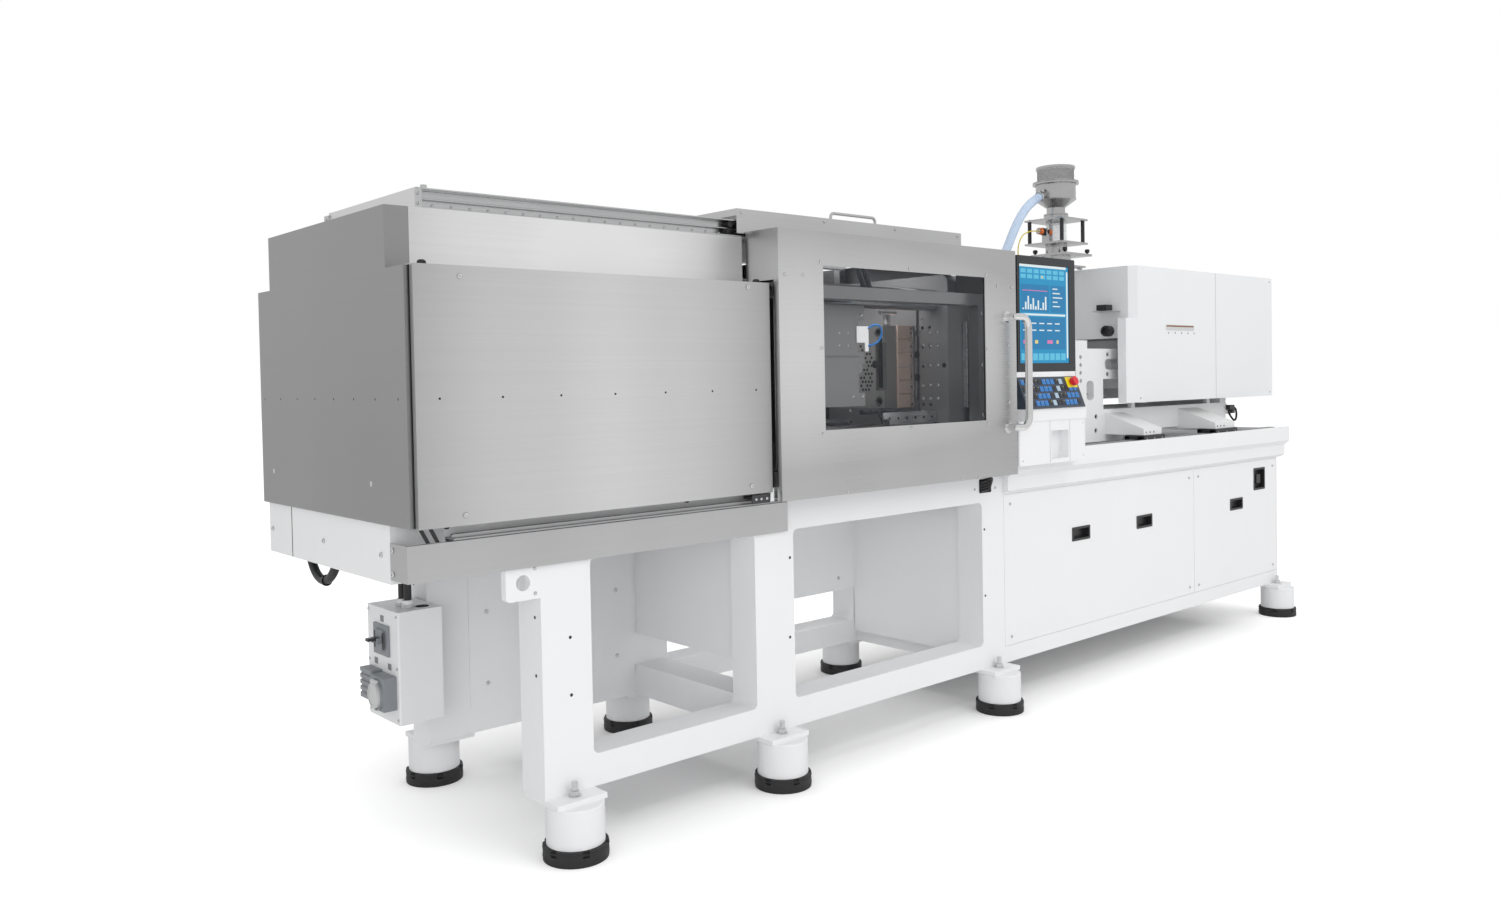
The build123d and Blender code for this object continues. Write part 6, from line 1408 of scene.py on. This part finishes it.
@dataclass
class ConsoleTrim:
    """Screen picture, keys, stop plate and knob of the control console."""

    screen_x: Span = (2341, 2657)
    screen_z: Span = (1256, 1617)
    screen_y: float = -498.2
    layer: float = 0.25
    slope_low: Span = (-545, 1090)
    slope_high: Span = (-500, 1205)
    key_x: float = 2328
    key_pitch: float = 27
    row_pitch: float = 0.225
    stop_x: float = 2586
    knob: Profile = ((0, 5), (6, 5), (7, 11), (14, 12), (17, 8))

    def build(self) -> None:
        """Make the pieces of the console."""
        self._screen()
        self._keys()
        self._housing()

    def _area(self, name: str, finish: Finish, spots: Iterable[tuple[Span, Span]], layer: int) -> None:
        """Add lit areas at shares of the screen.

        Args:
            name: Name of the piece.
            finish: Its finish.
            spots: Low and high share of the width and of the height of each area.
            layer: Number of areas that it lies over.
        """
        (left, right), (low, high) = self.screen_x, self.screen_z
        y = self.screen_y - self.layer * layer
        piece = Workpiece(name)
        for across, up in spots:
            piece.block([left + share * (right - left) for share in across], (y - self.layer, y),
                        [low + share * (high - low) for share in up])
        piece.finish(finish)

    def _screen(self) -> None:
        """Lit picture: tiles, three fields with bars and rules, and a row of soft keys."""
        self._area("screen_base", SCREEN_BLUE, [((0, 1), (0, 1))], 0)
        fields = [((0.03, 0.60), (0.52, 0.80)), ((0.63, 0.93), (0.52, 0.80)), ((0.03, 0.93), (0.14, 0.47))]
        self._area("screen_fields", SCREEN_DEEP, fields, 1)
        tiles = [((0.03 + 0.13 * n, 0.13 + 0.13 * n), (0.86 + 0.055 * m, 0.90 + 0.055 * m))
                 for n in range(7) for m in range(2)]
        self._area("screen_tiles", SCREEN_SKY, tiles, 1)
        pale = [((0.0, 0.95), (0.975, 1.0)), ((0.955, 0.985), (0.05, 0.95)), ((0.03, 0.93), (0.485, 0.505))]
        pale += [((0.67, 0.67 + 0.05 * (n % 3 + 2)), (0.76 - 0.045 * n, 0.772 - 0.045 * n)) for n in range(5)]
        pale += [((0.07 + 0.16 * n, 0.17 + 0.16 * n), (0.40 - 0.07 * m, 0.412 - 0.07 * m))
                 for n in range(5) for m in range(2)]
        pale += [((0.06 + 0.05 * n, 0.09 + 0.05 * n), (0.545, 0.56 + 0.02 * (n * 3 % 7)))
                 for n in range(10)]
        self._area("screen_pale", SCREEN_PALE, pale, 2)
        pink = [((0.07, 0.24), (0.20, 0.235)), ((0.55, 0.66), (0.20, 0.235)), ((0.06, 0.56), (0.735, 0.742))]
        self._area("screen_pink", SCREEN_PINK, pink, 3)
        sand = [((0.74, 0.78), (0.20, 0.235)), ((0.44, 0.47), (0.87, 0.89)), ((0.30, 0.36), (0.20, 0.235))]
        self._area("screen_sand", SCREEN_SAND, sand, 3)
        keys = [((0.03 + 0.115 * n, 0.125 + 0.115 * n), (0.03, 0.10)) for n in range(8)]
        self._area("screen_keys", SCREEN_SKY, keys, 1)

    def _on_slope(self, x: Span, share: Span, low: float, high: float) -> tuple[list[Point], Point]:
        """Corners and lift of a plate on the keyboard's slope.

        Args:
            x: Low and high value along the machine.
            share: Low and high share of the slope.
            low: Height of the plate's lower face over the slope.
            high: Thickness of the plate.

        Returns:
            Corners of the lower face, and the lift.
        """
        (y0, z0), (y1, z1) = self.slope_low, self.slope_high
        long = math.hypot(y1 - y0, z1 - z0)
        way = (-(z1 - z0) / long, (y1 - y0) / long)
        spots = [(y0 + (y1 - y0) * s + way[0] * low, z0 + (z1 - z0) * s + way[1] * low) for s in share]
        corners = [(x[0], *spots[0]), (x[1], *spots[0]), (x[1], *spots[1]), (x[0], *spots[1])]
        return corners, (0.0, way[0] * high, way[1] * high)

    def _keys(self) -> None:
        """Keys in blocks of three colours with small lamps, and the yellow plate."""
        names = {KEY_BLUE: "keys_blue", KEY_DARK: "keys_dark", KEY_PALE: "keys_pale"}
        pieces = {finish: Workpiece(name) for finish, name in names.items()}
        wheel = [KEY_DARK, KEY_BLUE, KEY_DARK, KEY_DARK, KEY_BLUE, KEY_PALE, KEY_BLUE]
        lamps = Workpiece("key_lamps")
        for row in range(4):
            for column in range(13):
                x, rise = self.key_x + self.key_pitch * column, self.row_pitch * row
                if x <= self.stop_x or row < 3:
                    key = pieces[wheel[(row * 5 + column * 2) % len(wheel)]]
                    key.slab(*self._on_slope((x, x + 22), (0.08 + rise, 0.245 + rise), 0.0, 1.6))
                if column in (0, 2, 3, 5, 8, 9, 11) and (x + 16 <= self.stop_x or row < 3):
                    lamps.slab(*self._on_slope((x + 16, x + 19.4), (0.20 + rise, 0.222 + rise), 1.5, 0.4))
        for finish, piece in pieces.items():
            piece.finish(finish, 0.6)
        lamps.finish(SCREEN_SAND)
        plate = self._on_slope((2619, 2685), (0.63, 0.97), 0.0, 2.0)
        Workpiece("stop_plate").slab(*plate).finish(STOP_YELLOW, 0.8)

    def _housing(self) -> None:
        """Edge strips, screws and vents, and the black knob behind the monitor."""
        Workpiece("monitor_knob").lathe(self.knob, (2700, -466, 1560), RIGHT, 10).finish(BLACK_PLASTIC)
        # The vents are near-black strips: painted shade.
        vents = Workpiece("monitor_vents")
        for z in spread(1290, 1386, 9):
            vents.block((2385, 2640), (-442.4, -442), (z, z + 5))
        vents.finish(HOLE_SHADE_AND_SEAM)
        x, y, z = (2338, 2660), (-500.6, -500), (1253, 1620)
        edge = Workpiece("screen_edge").block(x, y, (z[0], z[0] + 2.5)).block(x, y, (z[1] - 2.5, z[1]))
        edge.block((x[0], x[0] + 2.5), y, z).block((x[1] - 2.5, x[1]), y, z).finish(BLACK_PLASTIC)
        seam = Workpiece("console_seam")
        for left in (2470, 2600):
            seam.block((left, left + 1.2), (-535.4, -535), (888, 1043))
        seam.finish(SOCKET_GREY)
        Workpiece("pocket_latch").block((2486, 2500), (-500, -497.2), (925, 939)).finish(SCREW_STEEL, 0.8)
        seats = [(x, -535, z) for x in (2300, 2690) for z in (904, 1028)]
        dots("console_screws", seats, FRONT, 3, 0.6, SCREW_STEEL)


@dataclass
class InjectionTrim:
    """Bolts, light, brackets, cable and rail parts of the injection unit."""

    casting_half: float = 195
    cover_half: float = 274
    shoes: tuple[Span, ...] = ((3310, 3480), (3950, 4160))
    rails: Span = (-395, 285)
    cap_long: float = 9
    cap_y: Span = (18, 42)
    cap_z: tuple[float, ...] = (912, 929.5, 942)
    lug_depth: float = 18
    plug_depth: float = 12
    fitting_depth: float = 26
    lug_bolts: tuple[Span, ...] = ((3346, 1295), (3344, 1209), (3248, 1026), (3246, 966))
    bolt: Profile = ((0, 9), (12, 9), (13, 8.2), (13, 4.6), (8, 4.4))
    fitting: Profile = ((0, 9), (9, 9), (10, 5), (22, 5), (23, 11), (31, 11), (33, 7))
    sensor: Profile = ((0, 22), (4, 24), (38, 24), (42, 20), (42, 14), (30, 13))
    cable: tuple[Point, ...] = ((4496, -262, 1030), (4512, -266, 1026), (4520, -268, 1000), (4514, -268, 968),
                                (4496, -262, 960), (4470, -252, 1000))

    def build(self) -> None:
        """Make the pieces of the injection unit."""
        self._casting()
        self._cover()
        self._carriage()

    def _casting(self) -> None:
        """Bolts and plugs in the casting and the carriage's front block, both sides."""
        for side, name, out in SIDES:
            edge = AXIS_Y + side * self.casting_half
            bolts = Workpiece(f"lug_bolts_{name}")
            for x, z in self.lug_bolts:
                bolts.lathe(self.bolt, (x, edge - side * self.lug_depth, z), out, 20)
            bolts.finish(BLACK_PLASTIC, body=Body.CARRIAGE)
            # The plug and dot discs below are near-black: painted shade of holes.
            plugs = [(3132, edge - side * self.plug_depth, z) for z in (1284, 1250, 1216, 1182)]
            dots(f"casting_plugs_{name}", plugs, out, 8.9, 1.0, HOLE_SHADE_AND_SEAM, Body.CARRIAGE, 20)
            fitting = Workpiece(f"pocket_fitting_{name}")
            fitting.lathe(self.fitting, (3204, edge - side * self.fitting_depth, 1098), UP, 12)
            fitting.finish(BLACK_PLASTIC, body=Body.CARRIAGE)
            lower = [(x, edge, 1072) for x in (3126, 3140, 3154)]
            dots(f"casting_dots_{name}", lower, out, 3.4, 0.5, HOLE_SHADE_AND_SEAM, Body.CARRIAGE)
            trunnion = Workpiece(f"trunnion_{name}").ring((3120, edge, 1098), out, 17, 11, 1.0)
            trunnion.finish(RAIL_STEEL, body=Body.CARRIAGE)

    def _cover(self) -> None:
        """Slit with five marks, the dark parts at the cover's front, its seam and its screws."""
        y = AXIS_Y - self.cover_half
        outline = rounded((3706, 3966), (1402, 1428), 4)
        edge = Workpiece("slit_frame").prism(outline, Axis.Y, (y - 0.8, y))
        edge.finish(LIGHT_PLASTIC, 0.3, Body.CARRIAGE)
        slit = Workpiece("slit_light").block((3711, 3961), (y - 1.2, y - 0.8), (1419, 1425.5))
        slit.finish(SLIT_AMBER, body=Body.CARRIAGE)
        marks = [(x, y, 1391) for x in spread(3730, 3968, 5)]
        dots("slit_marks", marks, FRONT, 4.5, 0.5, LABEL_GREY, Body.CARRIAGE, 16)
        block = Workpiece("sensor_block").block((3386, 3436), (-222, -172), (1491, 1516))
        block.lathe(self.sensor, (3436, -208, 1400), LEFT, 28).finish(BLACK_PLASTIC, 1.2, Body.CARRIAGE)
        plate = Workpiece("sensor_plate").block((3372, 3436), (-262, -160), (1485, 1488))
        plate.finish(ALUMINIUM, 0.6, Body.CARRIAGE)
        seam = Workpiece("cover_seam")
        for side, _, _ in SIDES:
            y = AXIS_Y + side * self.cover_half
            seam.block((4180, 4181.4), sorted((y, y + side * 0.5)), (1084, 1681))
        seam.finish(SOCKET_GREY, body=Body.CARRIAGE)
        for side, name, out in SIDES:
            y = AXIS_Y + side * self.cover_half
            seats = [(3480, y, 1100), (4760, y, 1100), (4760, y, 1664)]
            screws(f"cover_screws_{name}", seats, out, 4.5, Body.CARRIAGE)

    def _carriage(self) -> None:
        """Shoe caps, shoe screws, rail plugs and the cable at the right end."""
        caps = Workpiece("shoe_caps")
        (near, far), (foot, crown, top) = self.cap_y, self.cap_z
        for low, high in self.shoes:
            for middle in self.rails:
                for x in ((low - self.cap_long, low), (high, high + self.cap_long)):
                    for y in ((middle - far, middle - near), (middle + near, middle + far)):
                        caps.block(x, y, (foot, top))
                    caps.block(x, (middle - far, middle + far), (crown, top))
        caps.finish(BLACK_PLASTIC, 1.5, Body.CARRIAGE)
        for (side, name, out), middle in zip(SIDES, self.rails):
            seats = [(x, middle + side * 45, 930) for low, high in self.shoes
                     for x in (low + 22, (low + high) / 2, high - 22)]
            screws(f"shoe_screws_{name}", seats, out, 5, Body.CARRIAGE)
            # Near-black discs for the arm's holes are painted shade.
            holes = [(low + step, middle + side * 37, 958) for low, _ in self.shoes for step in (30, 62, 94)]
            dots(f"arm_dots_{name}", holes, out, 4, 0.5, HOLE_SHADE_AND_SEAM, Body.CARRIAGE)
        plugs = [(x, y, 928) for x in spread(2940, 4600, 22) for y in self.rails]
        dots("rail_plugs", plugs, UP, 6, 0.04, DARK_STEEL)
        plug = Workpiece("end_connectors").block((4440, 4492), (-272, -250), (1018, 1042))
        plug.block((4462, 4490), (-274, -250), (1000, 1018)).block((4488, 4500), (-268, -250), (1022, 1038))
        plug.finish(BLACK_PLASTIC, 1.5, Body.CARRIAGE)
        Workpiece("end_cable").tube(self.cable, 5).finish(BLACK_HOSE, body=Body.CARRIAGE)


@dataclass
class LoaderTrim:
    """Perforations, knobs, bolts, sensor sleeves and clamps of the loader."""

    feed_x: float = 3258
    throat_x: float = 3296
    filter_radius: float = 79
    hole_rows: int = 10
    hole_low: float = 2064
    hole_pitch: float = 5.2
    hole: Profile = ((0, 1.9), (0.25, 1.9))
    holes_round: int = 66
    bands: tuple[Span, ...] = ((1983, 86), (2046, 86), (1914, 52), (2059, 97))
    band: Profile = ((0, -0.4), (0.8, 1.8), (2.8, 1.8), (3.6, -0.4))
    corners: tuple[tuple[int, int], ...] = ((-1, -1), (-1, 1), (1, -1), (1, 1))
    post_out: float = 82
    plate_top: float = 1745
    flange_top: float = 1896
    sleeve_low: float = 1792.5
    sleeve_long: float = 95
    knob_out: Span = (88, 76)
    knob: Profile = ((0, 5), (6, 5), (7, 10), (18, 11), (22, 7))
    nut: Profile = ((0, 12), (0, 17), (7, 17), (7, 12))
    sensor_z: float = 1838

    def build(self) -> None:
        """Make the pieces of the loader."""
        self._vessel()
        self._flanges()
        self._sensor()
        self._clamp()

    def _vessel(self) -> None:
        """Holes of the filter as near-black discs of painted shade, and bands round the vessel."""
        holes = Workpiece("filter_holes")
        for row in range(self.hole_rows):
            z = self.hole_low + self.hole_pitch * row
            for step in range(self.holes_round):
                turn = math.tau * (step + 0.5 * (row % 2)) / self.holes_round
                x, y = math.cos(turn), math.sin(turn)
                seat = (self.feed_x + self.filter_radius * x, AXIS_Y + self.filter_radius * y, z)
                holes.lathe(self.hole, seat, (x, y, 0.0), 8)
        holes.finish(HOLE_SHADE_AND_SEAM, body=Body.CARRIAGE)
        bands = Workpiece("loader_bands")
        for z, radius in self.bands:
            profile = [(along, radius + out) for along, out in self.band]
            bands.lathe(profile, (self.feed_x, AXIS_Y, z), UP, 64, False)
        bands.finish(HOPPER_STEEL, body=Body.CARRIAGE)

    def _flanges(self) -> None:
        """Knobs on the base plate, and bolts and sleeves of the four posts."""
        knobs = Workpiece("base_knobs")
        for a, b in self.corners:
            place = (self.throat_x + a * self.knob_out[0], AXIS_Y + b * self.knob_out[1], self.plate_top)
            knobs.lathe(self.knob, place, UP, 12)
        knobs.finish(BLACK_PLASTIC, body=Body.CARRIAGE)
        posts = [(self.feed_x + a * self.post_out, AXIS_Y + b * self.post_out) for a, b in self.corners]
        screws("flange_bolts", [(*post, self.flange_top) for post in posts], UP, 7, Body.CARRIAGE)
        sleeves = Workpiece("post_sleeves")
        for post in posts:
            sleeves.ring((*post, self.sleeve_low), UP, 8.4, 7, self.sleeve_long, 16)
        sleeves.finish(BLACK_PLASTIC, body=Body.CARRIAGE)

    def _sensor(self) -> None:
        """Orange and black sleeves of the level sensor."""
        orange = Workpiece("sensor_orange")
        for x in (3124, 3188):
            orange.ring((x, AXIS_Y, self.sensor_z), RIGHT, 14.5, 12, 20)
        orange.finish(SENSOR_ORANGE, 0.8, Body.CARRIAGE)
        black = Workpiece("sensor_nuts")
        for x in (3146, 3156, 3176):
            black.lathe(self.nut, (x, AXIS_Y, self.sensor_z), RIGHT, 6, False)
        black.finish(BLACK_PLASTIC, 0.8, Body.CARRIAGE)

    @staticmethod
    def _clamp() -> None:
        """Band and screw that hold the hose on the inlet."""
        band = Workpiece("hose_band").ring((3136, AXIS_Y, 1989), (-0.908, 0, -0.419), 21.4, 19, 9, 32)
        band.block((3124, 3137), (AXIS_Y - 8, AXIS_Y + 8), (2004, 2014))
        band.lathe([(0, 5), (12, 5)], (3131, AXIS_Y - 13, 2010), FRONT, 6)
        band.finish(SCREW_STEEL, body=Body.CARRIAGE)


@dataclass
class MaterialHose:
    """Clear hose from the fixed coupling up to the loader."""

    radius: float = 19
    ripple: float = 0.8
    pitch: float = 7
    route: tuple[Span, ...] = ((2381, 1500), (2460, 1500), (2550, 1514), (2655, 1542), (2750, 1592),
                               (2828, 1660), (2886, 1738), (2935, 1818), (2990, 1890), (3058, 1952.7),
                               (3128, 1985))

    def build(self) -> None:
        """Make the hose."""
        points = [(x, AXIS_Y, z) for x, z in self.route]
        piece = Workpiece("clear_material_hose").tube(points, self.radius, 28, self.ripple, self.pitch)
        made = piece.place(HOSE_CLEAR)
        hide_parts("material_hose")
        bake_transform(made)
        LOG.info("hose joins the fixed coupling to the loader")


DETAILS: tuple[object, ...] = (
    EndPanelTrim(), HoodTrim(), DoorTrim(), GateTrim(), ApronTrim(), BaseTrim(), PowerBoxTrim(),
    MouldAreaTrim(), ConsoleTrim(), InjectionTrim(), LoaderTrim(), MaterialHose(),
)


def main() -> None:
    """Build the machine's looks in order."""
    logging.basicConfig(level=logging.INFO)
    Studio().build()
    CadDress().build()
    for detail in DETAILS:
        detail.build()


if __name__ == "__main__":
    main()
